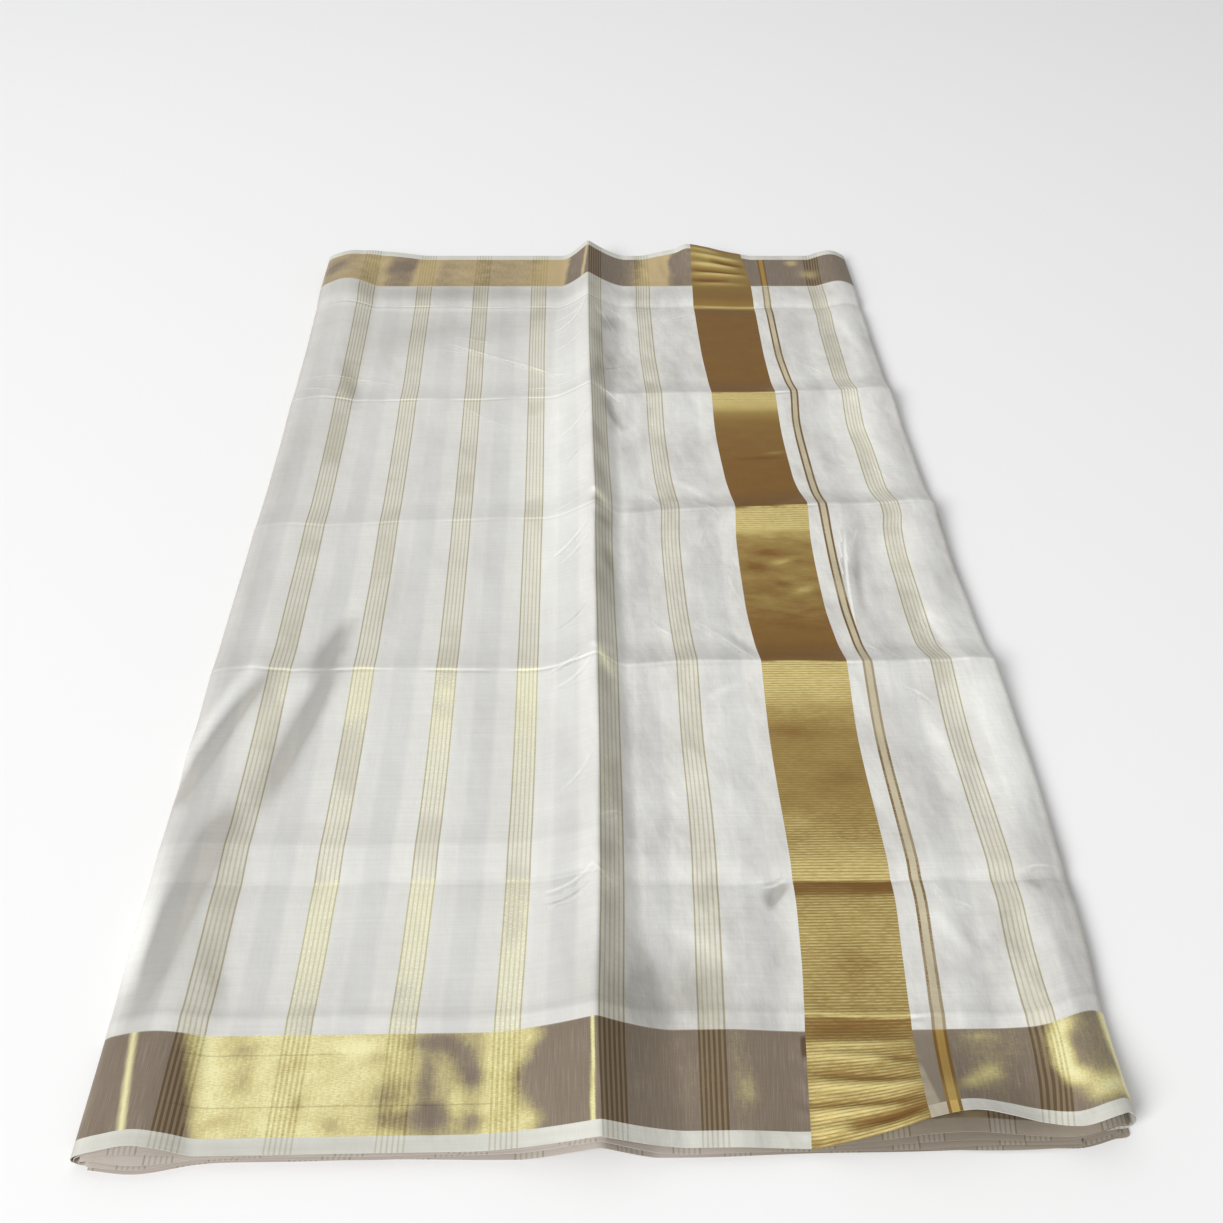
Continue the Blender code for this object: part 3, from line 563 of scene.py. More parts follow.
class Curve:
    """A smooth curve through a short table's points that never swings past them.

    Each slope is the harmonic mean of the steps beside its point, or 0 at a turn, and a cubic
    runs between each pair of points.
    """

    def __init__(self, table: Sequence[Any], name: str = "value", unit: float = MM) -> None:
        """Read one column of a table.

        Args:
            table: the rows, in rising order of where they are, in millimetres.
            name: name of the column.
            unit: what 1 in that column is worth.
        """
        self.keys = np.array([row.at for row in table]) * MM
        self.values = np.array([getattr(row, name) for row in table]) * unit
        steps = np.diff(self.values) / np.diff(self.keys)
        before, after = steps[:-1], steps[1:]
        total = np.where(before + after == 0, 1, before + after)
        inner = np.where(before * after > 0, 2 * before * after / total, 0)
        self.slopes = np.concatenate([steps[:1], inner, steps[-1:]])

    def __call__(self, at: Array) -> Array:
        """Values of the curve, whose end values hold past its ends.

        Args:
            at: the places, in metres.

        Returns:
            The value at each place.
        """
        at = np.clip(at, self.keys[0], self.keys[-1])
        low = np.clip(np.searchsorted(self.keys, at, side="right") - 1, 0, len(self.keys) - 2)
        span = self.keys[low + 1] - self.keys[low]
        t = (at - self.keys[low]) / span
        ease = smooth(t)
        leaving = self.slopes[low] * span * t * (1 - t) ** 2
        arriving = self.slopes[low + 1] * span * t * t * (t - 1)
        return self.values[low] * (1 - ease) + self.values[low + 1] * ease + leaving + arriving


@dataclass(frozen=True)
class Waves:
    """Two sine waves along x: radians to the metre, and the quick one's share and phase."""

    slow: float
    quick: float
    share: float
    turn: float

    def __call__(self, x: Array, phase: float) -> Array:
        """Height of the waves at x, from the phase where the slow one starts."""
        return np.sin(x * self.slow + phase) + self.share * np.sin(x * self.quick + self.turn * phase)


def graded(start: float, end: float, step: float, folds: Sequence[float] = (),
           gain: float = 1.2, width: float = 0.005) -> Array:
    """Places from start to end, about a step apart and crowded near each fold.

    The crowding is 1 plus the gain times a bell curve round each fold. Its running total is cut
    into equal parts.

    Args:
        start: first place.
        end: last place.
        step: distance between places away from the folds.
        folds: where the places crowd.
        gain: how much closer they lie on a fold.
        width: how far the crowding reaches.

    Returns:
        The places in rising order.
    """
    fine = np.linspace(start, end, GRADING_POINTS)
    crowding = np.ones_like(fine)
    for fold in folds:
        crowding += gain * np.exp(-((fine - fold) / width) ** 2)
    total = np.concatenate([[0], np.cumsum((crowding[1:] + crowding[:-1]) / 2 * np.diff(fine))])
    count = max(2, round(total[-1] / step))
    return np.interp(np.linspace(0, total[-1], count + 1), total, fine)


def nose(start: Array, end: Array, slopes: tuple[Array, Array], reach: float,
         steps: int) -> Array:
    """Cloth that turns back on itself between two rows of points, in the section across the fold.

    With t from 0 to 1, x goes from start to end plus 4 t (1 - t) times the reach. z is the cubic
    that has each end's height and slope.

    Args:
        start: points along y where the turn starts.
        end: points along y where it ends.
        slopes: slope of z over x at both ends.
        reach: how far the turn stands out, negative on the left.
        steps: number of columns made.

    Returns:
        Rows, columns and x, y, z, without the starting points.
    """
    t = np.linspace(0, 1, steps + 1)[1:]
    ease = smooth(t)
    first, last = start[:, None], end[:, None]
    points = first * (1 - ease[:, None]) + last * ease[:, None]
    points[..., 0] += 4 * reach * t * (1 - t)
    points[..., 2] += 4 * reach * (slopes[0][:, None] * t * (1 - t) ** 2
                                   + slopes[1][:, None] * t * t * (1 - t))
    return points


def end_slope(points: Array, column: int, inward: int) -> Array:
    """Slope of z over x at an end column, from the column beside it."""
    step = points[:, column] - points[:, column + inward]
    return step[:, 2] / step[:, 0]


def path_length(points: Array) -> Array:
    """Distance along the middle row of a grid, from its first column to each."""
    middle = points[len(points) // 2]
    return np.concatenate([[0], np.cumsum(np.linalg.norm(np.diff(middle, axis=0), axis=1))])


@dataclass
class FoldedForm:
    """Where every layer of the folded cloth lies, with lengths in metres."""

    sizes: ClothSizes
    ridge_power: float = 1.5
    ridge_rounding: float = 0.0022
    ridge_wander: float = 0.0007
    crease_power: float = 1.6
    crease_rounding: float = 0.0016
    crease_grows: Pair = (-0.06, 0.10)
    crease_wander: Pair = (0.0012, 0.0005)
    left_loop: float = 0.074
    right_loop: float = 0.050
    loop_power: float = 1.3
    right_loop_lean: float = 0.8
    lift_power: float = 1.4
    bunch_power: float = 1.3
    bunch_reach: float = 0.090
    near_sag: float = 0.005
    sag_left: Pair = (0.075, 0.135)
    sag_right: Pair = (0.325, 0.265)
    sag_y: Pair = (-0.360, -0.470)
    channel_height: float = 0.78
    channel_width: float = 0.62
    channel_power: float = 1.25
    corner_back: float = 0.009
    corner_x: Pair = (0.300, 0.345)
    corner_y: Pair = (-0.370, -0.490)
    toe: float = 0.006
    toe_middle: float = -0.302
    toe_width: float = 0.030
    toe_above: int = 2
    fine_width: float = 3.7
    fine_relief: float = 0.45
    wrinkle_power: float = 0.8
    clearance: float = 0.0001
    ripple: float = 0.00018
    ripple_waves: Waves = Waves(23, 51, 0.6, 2)
    edge_waves: Waves = Waves(14, 47, 0.4, -1)

    def __post_init__(self) -> None:
        """Read every table once."""
        sizes = self.sizes
        names = ("left", "stripe", "centre", "band_start", "band_end", "double", "right")
        self.lines = [Curve(DRIFT, name) for name in names]
        self.lines.insert(3, Curve(MIDDLE_CLUSTER))
        self.lines.insert(-1, Curve(LAST_CLUSTER))
        self.line_u = np.array([sizes.u_left, U_STRIPE, sizes.u_centre, U_MIDDLE,
                                sizes.u_band_start, sizes.u_band_end, sizes.u_double, U_LAST,
                                sizes.u_right])
        self.ridge_height = Curve(RIDGE, "height")
        self.ridge_left = Curve(RIDGE, "left")
        self.ridge_right = Curve(RIDGE, "right")
        self.fold_left = Curve(FOLDS, "left")
        self.fold_right = Curve(FOLDS, "right")
        self.lift = Curve(NEAR_LIFT, "height")
        self.back = Curve(NEAR_LIFT, "back")
        self.bunch = Curve(FAR_BUNCH)

    def place_x(self, u: Array, y: Array) -> Array:
        """x of each place: straight between the weave's named lines.

        Args:
            u: place along the cloth of each column.
            y: y of each row.

        Returns:
            The x of each row and column.
        """
        lines = np.stack([line(y) for line in self.lines])
        low = np.clip(np.searchsorted(self.line_u, u, side="right") - 1, 0, len(self.line_u) - 2)
        share = (u - self.line_u[low]) / (self.line_u[low + 1] - self.line_u[low])
        return (lines[low] * (1 - share[:, None]) + lines[low + 1] * share[:, None]).T

    def from_centre(self, x: Array, y: Array) -> tuple[Array, Array]:
        """Distance from the centre crease, and the reach of the ridge's flank there."""
        away = x - self.lines[2](y) - self.ridge_wander * np.sin(y * 31) * np.sin(y * 11 + 1)
        return away, np.where(away < 0, self.ridge_left(y), self.ridge_right(y))

    def ridge(self, x: Array, y: Array) -> Array:
        """Height of the long centre crease, which tents the whole stack."""
        away, reach = self.from_centre(x, y)
        return self.ridge_height(y) * falling(away, reach, self.ridge_power, self.ridge_rounding)

    def crease_line(self, number: int, x: Array) -> Array:
        """y of one pressed fold at x: straight between its ends, but for a little wander.

        Args:
            number: its row in the table.
            x: where to find it.

        Returns:
            Its y at each x.
        """
        sizes, crease = self.sizes, CREASES[number]
        along = np.clip((x - sizes.u_left) / (sizes.u_right - sizes.u_left), 0, 1)
        straight = (crease.y_left + (crease.y_right - crease.y_left) * along) * MM
        slow, quick = self.crease_wander
        return straight + slow * np.sin(x * 19 + number * 2) + quick * np.sin(x * 61 + number)

    def creases(self, x: Array, y: Array) -> Array:
        """Height of the folds pressed across the length: the sum of their crests.

        Args:
            x, y: the points.

        Returns:
            The height there.
        """
        right = eased(x, *self.crease_grows)
        total = np.zeros_like(x)
        for number, crease in enumerate(CREASES):
            middle = self.crease_line(number, x)
            height = (crease.left + (crease.right - crease.left) * right) * MM
            reach = np.where(y > middle, crease.far_flank, crease.near_flank) * MM
            total += height * falling(y - middle, reach, self.crease_power, self.crease_rounding)
        return total

    def loops(self, x: Array, y: Array) -> Array:
        """Height of the soft bulges along both folds: half a sine wave, to a power.

        Args:
            x, y: the points.

        Returns:
            The height there.
        """
        from_left = np.clip((x - self.lines[0](y)) / self.left_loop, 0, 1)
        from_right = np.clip((self.lines[-1](y) - x) / self.right_loop, 0, 1)
        left = np.sin(np.pi * from_left).clip(0) ** self.loop_power
        right = np.sin(np.pi * from_right ** self.right_loop_lean).clip(0) ** self.loop_power
        return self.fold_left(y) * left + self.fold_right(y) * right

    def sag(self, x: Array, y: Array) -> Array:
        """How far the near right quarter lies below the rest: the product of three eases."""
        return -self.near_sag * eased(x, *self.sag_left) * eased(x, *self.sag_right) * eased(y, *self.sag_y)

    def bunched(self, x: Array, y: Array) -> Array:
        """Height of the bunched far edge."""
        share = smooth((y + self.sizes.near) / self.bunch_reach + 1)
        return self.bunch(x) * share ** self.bunch_power

    def near_share(self, y: Array) -> Array:
        """1 at the near selvedge, down to 0 at the border's inner edge."""
        return np.clip(1 - (y - self.sizes.near) / self.sizes.hem, 0, 1)

    def askew(self, x: Array, y: Array) -> Array:
        """How far the near right corner is set back, as its fold isn't quite square."""
        return self.corner_back * eased(x, *self.corner_x) * eased(y, *self.corner_y)

    def beside(self, x: Array, y: Array, row: Wrinkle) -> tuple[Array, Array]:
        """Where points lie beside a wrinkle's line, a parabola.

        Args:
            x, y: the points.
            row: the wrinkle.

        Returns:
            The share of the way along the line, and the distance from it.
        """
        start = np.array([row.x_start, row.y_start]) * MM
        line = np.array([row.x_end, row.y_end]) * MM - start
        length = np.hypot(*line)
        line /= length
        along = ((x - start[0]) * line[0] + (y - start[1]) * line[1]) / length
        t = np.clip(along, 0, 1)
        across = (y - start[1]) * line[0] - (x - start[0]) * line[1]
        return along, across - row.bow * MM * 4 * t * (1 - t)

    def wrinkles(self, x: Array, y: Array, table: Sequence[Wrinkle],
                 fine: float = 1.0) -> Array:
        """Height of the wrinkles: a bell curve across the line of each, half a sine wave along it.

        Args:
            x, y: the points.
            table: the wrinkles.
            fine: share of its height that a narrow wrinkle keeps.

        Returns:
            The height there.
        """
        total = np.zeros_like(x)
        for row in table:
            along, across = self.beside(x, y, row)
            bell = np.exp(-(across / (row.width * MM)) ** 2)
            height = row.height * MM * (fine if row.width < self.fine_width else 1)
            total += height * bell * np.sin(np.pi * np.clip(along, 0, 1)) ** self.wrinkle_power
        return total

    def top(self, u: Array, y: Array) -> Array:
        """Points of the top layer's outer face: the stack's height plus every form on it.

        Args:
            u: place along the cloth of each column.
            y: y of each row, before its near edge is set back.

        Returns:
            Rows, columns and x, y, z.
        """
        x = self.place_x(u, y)
        across = np.repeat(y[:, None], len(u), axis=1)
        share = self.near_share(across)
        z = self.sizes.stack_top + self.ridge(x, across) + self.creases(x, across)
        z += self.loops(x, across) + self.sag(x, across) + self.bunched(x, across)
        z += self.lift(x) * share ** self.lift_power
        z += self.wrinkles(x, across, WRINKLES, self.fine_relief)
        z += self.wrinkles(x, across, PUCKERS)
        z += patches(x, across, SWELLS) * MM
        moved = across + self.back(x) * share + self.askew(x, across)
        return np.stack([x, moved, z], axis=-1)

    def channel(self, x: Array, y: Array) -> Array:
        """Height of the shallow channel under the centre crease, 0 where the stack rests."""
        away, reach = self.from_centre(x, y)
        return self.channel_height * self.ridge_height(y) * falling(
            away, self.channel_width * reach, self.channel_power, self.ridge_rounding)

    def layer(self, number: int, u: Array, v: Array) -> Array:
        """Points of one hidden layer, at its share of the height between channel and top layer.

        Args:
            number: the layer, counted from the top one down.
            u: place along the cloth of each column.
            v: distance of each row from the near edge.

        Returns:
            Rows, columns and x, y, z.
        """
        row, sizes = HIDDEN[number], self.sizes
        y = sizes.near + v
        x = self.place_x(u, y)
        across = np.repeat(y[:, None], len(u), axis=1)
        share = self.near_share(across)
        floor = self.channel(x, across) + sizes.thickness + self.clearance
        whole = sizes.stack_top + self.ridge(x, across) + self.sag(x, across) - floor
        z = floor + whole * row.height
        z += row.loops * (self.loops(x, across) + self.creases(x, across) + self.bunched(x, across))
        lift = np.where(x < 0, row.lift_left, row.lift_right)
        z += lift * self.lift(x) * share ** self.lift_power
        ripples = (row.height > 0) * self.ripple * self.ripple_waves(x, row.phase)
        z += ripples * whole / sizes.stack_top
        if number == BOTTOM:
            z += self.wrinkles(x, across, UNDERSIDE)
        back = np.where(x < 0, 0, row.back) * self.back(x) * share
        uneven = row.edge + row.wave * self.edge_waves(x, row.phase)
        inward = uneven * MM * (1 - 2 * v[:, None] / sizes.width) + self.askew(x, across)
        if number > self.toe_above:
            inward -= self.toe * np.exp(-((x - self.toe_middle) / self.toe_width) ** 2) * share
        return np.stack([x, across + back + inward, z], axis=-1)


class Zone(Enum):
    """The woven zones, named as the record's material slots."""

    FIELD = "cotton_field"
    BORDER = "zari_border"
    BAND = "zari_band"
    SELVEDGE = "selvedge"
    LOWER = "lower_layers"


class Mark(Enum):
    """Values that the top layer's points carry for the materials."""

    # Painted light and painted shade on the cloth.
    TONE = "tone"
    # The zari's painted reflection.
    GOLD = "gold"
    # The rest place the painted highlight and shade lines of creases and fine wrinkles.
    FOLD = "fold"
    PRESS = "press"
    CRISP = "crisp"
    SHARP = "sharp"


@dataclass
class Sheen:
    """Painted light and shade on the top layer: values that the materials read from its points.

    The tone is 0 for plain cotton, 1 for painted sheen and -1 for painted shade. The gold is the
    zari's painted reflection, 0 for dull zari and 1 for bright. The fold is the distance in metres
    from the nearest pressed crease, and the press is how bright its painted highlight line shows.
    Crisp and sharp are the same for the fine wrinkles.
    """

    form: FoldedForm
    border_slant: float = 0.25
    slant_start: float = -0.12
    slant_fade: float = 0.08
    far_slant: float = 0.1
    bend_reach: float = 0.030
    fold_limit: float = 0.030
    stripes_glitter: tuple[float, ...] = (-0.300, -0.230, -0.026)
    glitter_fade: float = 0.02
    plain_share: float = 0.35
    # Painted light on the soft wrinkles' ridges and painted shade in their troughs.
    wrinkle_shading: float = 0.7
    # Painted sheen on the puckers' ridges and painted shade in their hollows.
    pucker_sheen: float = 0.38
    crisp_limit: float = 0.0055
    crisp_power: float = 0.5
    # Painted shade along the outer edges of both folds.
    edge_shade: float = 0.6
    edge_reach: float = 0.007

    def __post_init__(self) -> None:
        """Read the tables of gold and of the pressed lines once."""
        self.near, self.far, self.band, self.stripe = (
            Curve(table, unit=1.0) for table in (NEAR_GOLD_SHEEN, FAR_GOLD_SHEEN, BAND_GOLD_SHEEN, STRIPE_GOLD_SHEEN))
        names = ("far", "upper", "middle", "lower", "faint", "pleat", "near")
        self.pressed = [Curve(PRESSED, name, 1.0) for name in names]
        self.fine = [row for row in WRINKLES if row.width < self.form.fine_width]
        self.soft = [row for row in WRINKLES if row.width >= self.form.fine_width]

    def crisp(self, x: Array, y: Array) -> tuple[Array, Array]:
        """The nearest fine wrinkle.

        Args:
            x, y: the points.

        Returns:
            The distance from its line, up to the limit, and its strength.
        """
        nearest, strength = np.full_like(x, self.crisp_limit), np.zeros_like(x)
        for row in self.fine:
            along, across = self.form.beside(x, y, row)
            closer = (np.abs(across) < np.abs(nearest)) & (along > 0) & (along < 1)
            share = row.height * np.sin(np.pi * np.clip(along, 0, 1)) ** self.crisp_power
            nearest = np.where(closer, across, nearest)
            strength = np.where(closer, share, strength)
        return nearest, strength

    def fold(self, x: Array, y: Array) -> tuple[Array, Array]:
        """The nearest pressed crease.

        Args:
            x, y: the points.

        Returns:
            The distance from its line, up to the limit, and its strength.
        """
        nearest, strength = np.full_like(x, self.fold_limit), np.zeros_like(x)
        for number, pressed in enumerate(self.pressed):
            away = y - self.form.crease_line(number, x)
            closer = np.abs(away) < np.abs(nearest)
            nearest = np.where(closer, away, nearest)
            strength = np.where(closer, pressed(x), strength)
        return nearest, strength

    def unbent(self, x: Array, y: Array) -> Array:
        """y as if the pressed creases ran straight across, so that the sheen follows them.

        Args:
            x, y: the points.

        Returns:
            The moved y.
        """
        middle = np.full_like(x, (SIZES.u_band_start + SIZES.u_band_end) / 2)
        moved = y.copy()
        for number in range(len(CREASES)):
            straight = self.form.crease_line(number, middle)
            here = self.form.crease_line(number, x)
            moved += (straight - here) * np.exp(-((y - here) / self.bend_reach) ** 2)
        return moved

    def gold(self, zone: Zone, x: Array, y: Array) -> Array:
        """Painted gold sheen on the zari: the curve along its zone, and the patches on it.

        Args:
            zone: the woven zone.
            x, y: the points.

        Returns:
            The painted sheen there.
        """
        extra = patches(x, y, GOLD_SHEEN_PATCHES)
        if zone is Zone.BAND:
            puckers = self.form.wrinkles(x, y, PUCKERS) / MM
            return self.band(self.unbent(x, y)) + extra + self.pucker_sheen * puckers
        if zone is Zone.BORDER:
            inner = SIZES.near + SIZES.hem / 2
            left = smooth((self.slant_start - x) / self.slant_fade)
            near = self.near(x + (y - inner) * self.border_slant * left)
            return np.where(y < 0, near, self.far(x - (y + inner) * self.far_slant)) + extra
        start, full, end = self.stripes_glitter
        left = eased(x, start, full) * smooth((end - x) / self.glitter_fade)
        share = self.plain_share + (1 - self.plain_share) * left
        return self.stripe(self.unbent(x, y)) * share + extra.clip(0)

    def marks(self, zone: Zone, x: Array, y: Array) -> dict[Mark, Array]:
        """Every value for one piece.

        Args:
            zone: its woven zone.
            x, y: its points.

        Returns:
            An array for each mark.
        """
        fold, press = self.fold(x, y)
        crisp, sharp = self.crisp(x, y)
        # Painted light and shade: the patches, with the soft wrinkles lighter on their ridges and darker in
        # their troughs.
        tone = patches(x, y, PAINTED_LIGHT_PATCHES) + self.wrinkle_shading * self.form.wrinkles(x, y, self.soft) / MM
        inside = np.minimum(x - self.form.lines[0](y), self.form.lines[-1](y) - x)
        # Painted shade along the outer edges of both folds.
        tone -= self.edge_shade * smooth(1 - inside / self.edge_reach)
        return {Mark.TONE: tone, Mark.GOLD: self.gold(zone, x, y), Mark.FOLD: fold,
                Mark.PRESS: press, Mark.CRISP: crisp, Mark.SHARP: sharp}


@dataclass
class Cloth:
    """A stretch of cloth as a grid: its points, outward normals, and each row's and column's place."""

    points: Array
    u: Array
    v: Array

    def __post_init__(self) -> None:
        """Normal at each point: the cross product of the steps along and across the grid."""
        along = np.gradient(self.points, axis=1)
        across = np.gradient(self.points, axis=0)
        normals = np.cross(along, across)
        self.normals = normals / np.linalg.norm(normals, axis=-1, keepdims=True)

    def piece(self, name: str, rows: slice = slice(None), columns: slice = slice(None),
              marks: dict[Mark, Array] | None = None) -> bpy.types.Object:
        """Cut a stretch of the grid and make it a closed shell of the cloth's thickness.

        Args:
            name: the piece's name.
            rows: its rows.
            columns: its columns.
            marks: values kept on its points.

        Returns:
            The new object.
        """
        outer, normals = self.points[rows, columns], self.normals[rows, columns]
        uv = places_uv(self.u[columns], self.v[rows])
        item = closed_shell(name, outer, outer - SIZES.thickness * normals, normals, uv)
        for mark, values in (marks or {}).items():
            both = np.concatenate([values.ravel()] * 2).astype(np.float32)
            item.data.attributes.new(mark.value, "FLOAT", "POINT").data.foreach_set("value", both)
        return item

    def flat(self, rows: slice = slice(None), columns: slice = slice(None)) -> Pair:
        """Width and length that this stretch was cut to."""
        u, v = self.u[columns], self.v[rows]
        return float(np.ptp(v)), float(np.ptp(u))


def places_uv(u: Array, v: Array) -> Array:
    """u and v of every point on a grid with one u for each column and one v for each row."""
    return np.stack(np.broadcast_arrays(u[None, :], v[:, None]), axis=-1)


def quads(index: Array) -> Array:
    """Four-sided faces between neighbours on a grid of vertex numbers."""
    corners = (index[:-1, :-1], index[:-1, 1:], index[1:, 1:], index[1:, :-1])
    return np.stack([corner.ravel() for corner in corners], axis=1)


def shell_faces(rows: int, columns: int) -> tuple[Array, Array]:
    """Faces of a shell whose outer grid's points come first and whose inner grid's follow.

    Args:
        rows, columns: size of each grid.

    Returns:
        The faces of both sides, and those of the rim.
    """
    top = np.arange(rows * columns).reshape(rows, columns)
    under = top + rows * columns
    rims = [(top[0, ::-1], under[0, ::-1]), (top[:, 0], under[:, 0]),
            (top[-1], under[-1]), (top[::-1, -1], under[::-1, -1])]
    sides = np.concatenate([quads(top), quads(under)[:, ::-1]])
    return sides, np.concatenate([quads(np.stack(pair)) for pair in rims])


def closed_shell(name: str, outer: Array, inner: Array, normals: Array,
                 uv: Array) -> bpy.types.Object:
    """A mesh object between two matching grids, closed round its rim.

    The rim's faces are flat. The sides have the cloth's own normals, so that neighbours cut from
    one grid show no seam.

    Args:
        name: the piece's name.
        outer: points of the outer side.
        inner: points of the inner side.
        normals: outward normals of the outer side.
        uv: each point's place on the cloth.

    Returns:
        The new object.
    """
    sides, edges = shell_faces(*outer.shape[:2])
    faces = np.concatenate([sides, edges])
    points = np.concatenate([outer.reshape(-1, 3), inner.reshape(-1, 3)]) - (SIZES.x_origin, 0, 0)
    mesh = bpy.data.meshes.new(name)
    mesh.vertices.add(len(points))
    mesh.vertices.foreach_set("co", points.astype(np.float32).ravel())
    mesh.loops.add(faces.size)
    mesh.loops.foreach_set("vertex_index", faces.astype(np.int32).ravel())
    mesh.polygons.add(len(faces))
    mesh.polygons.foreach_set("loop_start", np.arange(0, faces.size, 4, dtype=np.int32))
    layer = mesh.uv_layers.new(name=UV_NAME)
    both = np.concatenate([uv.reshape(-1, 2)] * 2)
    layer.data.foreach_set("uv", both[faces.ravel()].astype(np.float32).ravel())
    mesh.update(calc_edges=True)
    mesh.polygons.foreach_set("use_smooth", np.ones(len(faces), dtype=bool))
    side_normals = np.concatenate([normals.reshape(-1, 3), -normals.reshape(-1, 3)])[sides.ravel()]
    diagonals = points[edges[:, 2]] - points[edges[:, 0]], points[edges[:, 3]] - points[edges[:, 1]]
    rim_normals = np.cross(*diagonals)
    rim_normals /= np.linalg.norm(rim_normals, axis=1, keepdims=True).clip(1e-12)
    loop_normals = np.concatenate([side_normals, np.repeat(rim_normals, 4, axis=0)])
    mesh.normals_split_custom_set(loop_normals.astype(np.float32))
    item = bpy.data.objects.new(name, mesh)
    bpy.context.scene.collection.objects.link(item)
    return item


def linear(red: int, green: int, blue: int) -> tuple[float, float, float, float]:
    """A display colour, each part from 0 to 255, as the linear colour that a shader takes."""
    parts = (value / 255 for value in (red, green, blue))
    return (*(p / 12.92 if p <= 0.04045 else ((p + 0.055) / 1.055) ** 2.4 for p in parts), 1.0)


Number = Union["Value", float, int]
Paint = Union[Socket, tuple]


class Value:
    """A number that varies over a surface. Arithmetic on it adds Math nodes to its graph."""

    def __init__(self, graph: Graph, socket: Socket) -> None:
        """Wrap one output socket."""
        self.graph = graph
        self.socket = socket

    def __add__(self, other: Number) -> Value:
        """Sum."""
        return self.graph.maths("ADD", self, other)

    __radd__ = __add__

    def __sub__(self, other: Number) -> Value:
        """Difference."""
        return self.graph.maths("SUBTRACT", self, other)

    def __rsub__(self, other: Number) -> Value:
        """Difference from a plain number."""
        return self.graph.maths("SUBTRACT", other, self)

    def __mul__(self, other: Number) -> Value:
        """Product."""
        return self.graph.maths("MULTIPLY", self, other)

    __rmul__ = __mul__

    def __truediv__(self, other: Number) -> Value:
        """Quotient."""
        return self.graph.maths("DIVIDE", self, other)

    def __mod__(self, other: Number) -> Value:
        """Remainder, never negative for a positive divisor."""
        return self.graph.maths("FLOORED_MODULO", self, other)

    def __abs__(self) -> Value:
        """Size without its sign."""
        return self.graph.maths("ABSOLUTE", self)

    def step(self, low: float, high: float) -> Value:
        """0 below low, 1 above high, eased between.

        Args:
            low: where it starts to rise.
            high: where it is full. If this is below low, it falls from 1 to 0 instead.

        Returns:
            The eased value.
        """
        ends = (0.0, 1.0) if low < high else (1.0, 0.0)
        node = self.graph.node("ShaderNodeMapRange", {"interpolation_type": "SMOOTHSTEP"},
                               {0: self, 1: min(low, high), 2: max(low, high), 3: ends[0], 4: ends[1]})
        return Value(self.graph, node.outputs[0])

    def within(self, low: float, high: float, soft: float) -> Value:
        """1 between low and high, 0 outside, with an eased edge of the given width."""
        half = soft / 2
        return self.step(low - half, low + half) * self.step(high + half, high - half)


@dataclass(frozen=True)
class Cells:
    """Soft noise on the cloth: its cells to the metre along and across, detail, seed, roughness."""

    along: float
    across: float
    detail: float
    seed: float
    roughness: float = 0.5


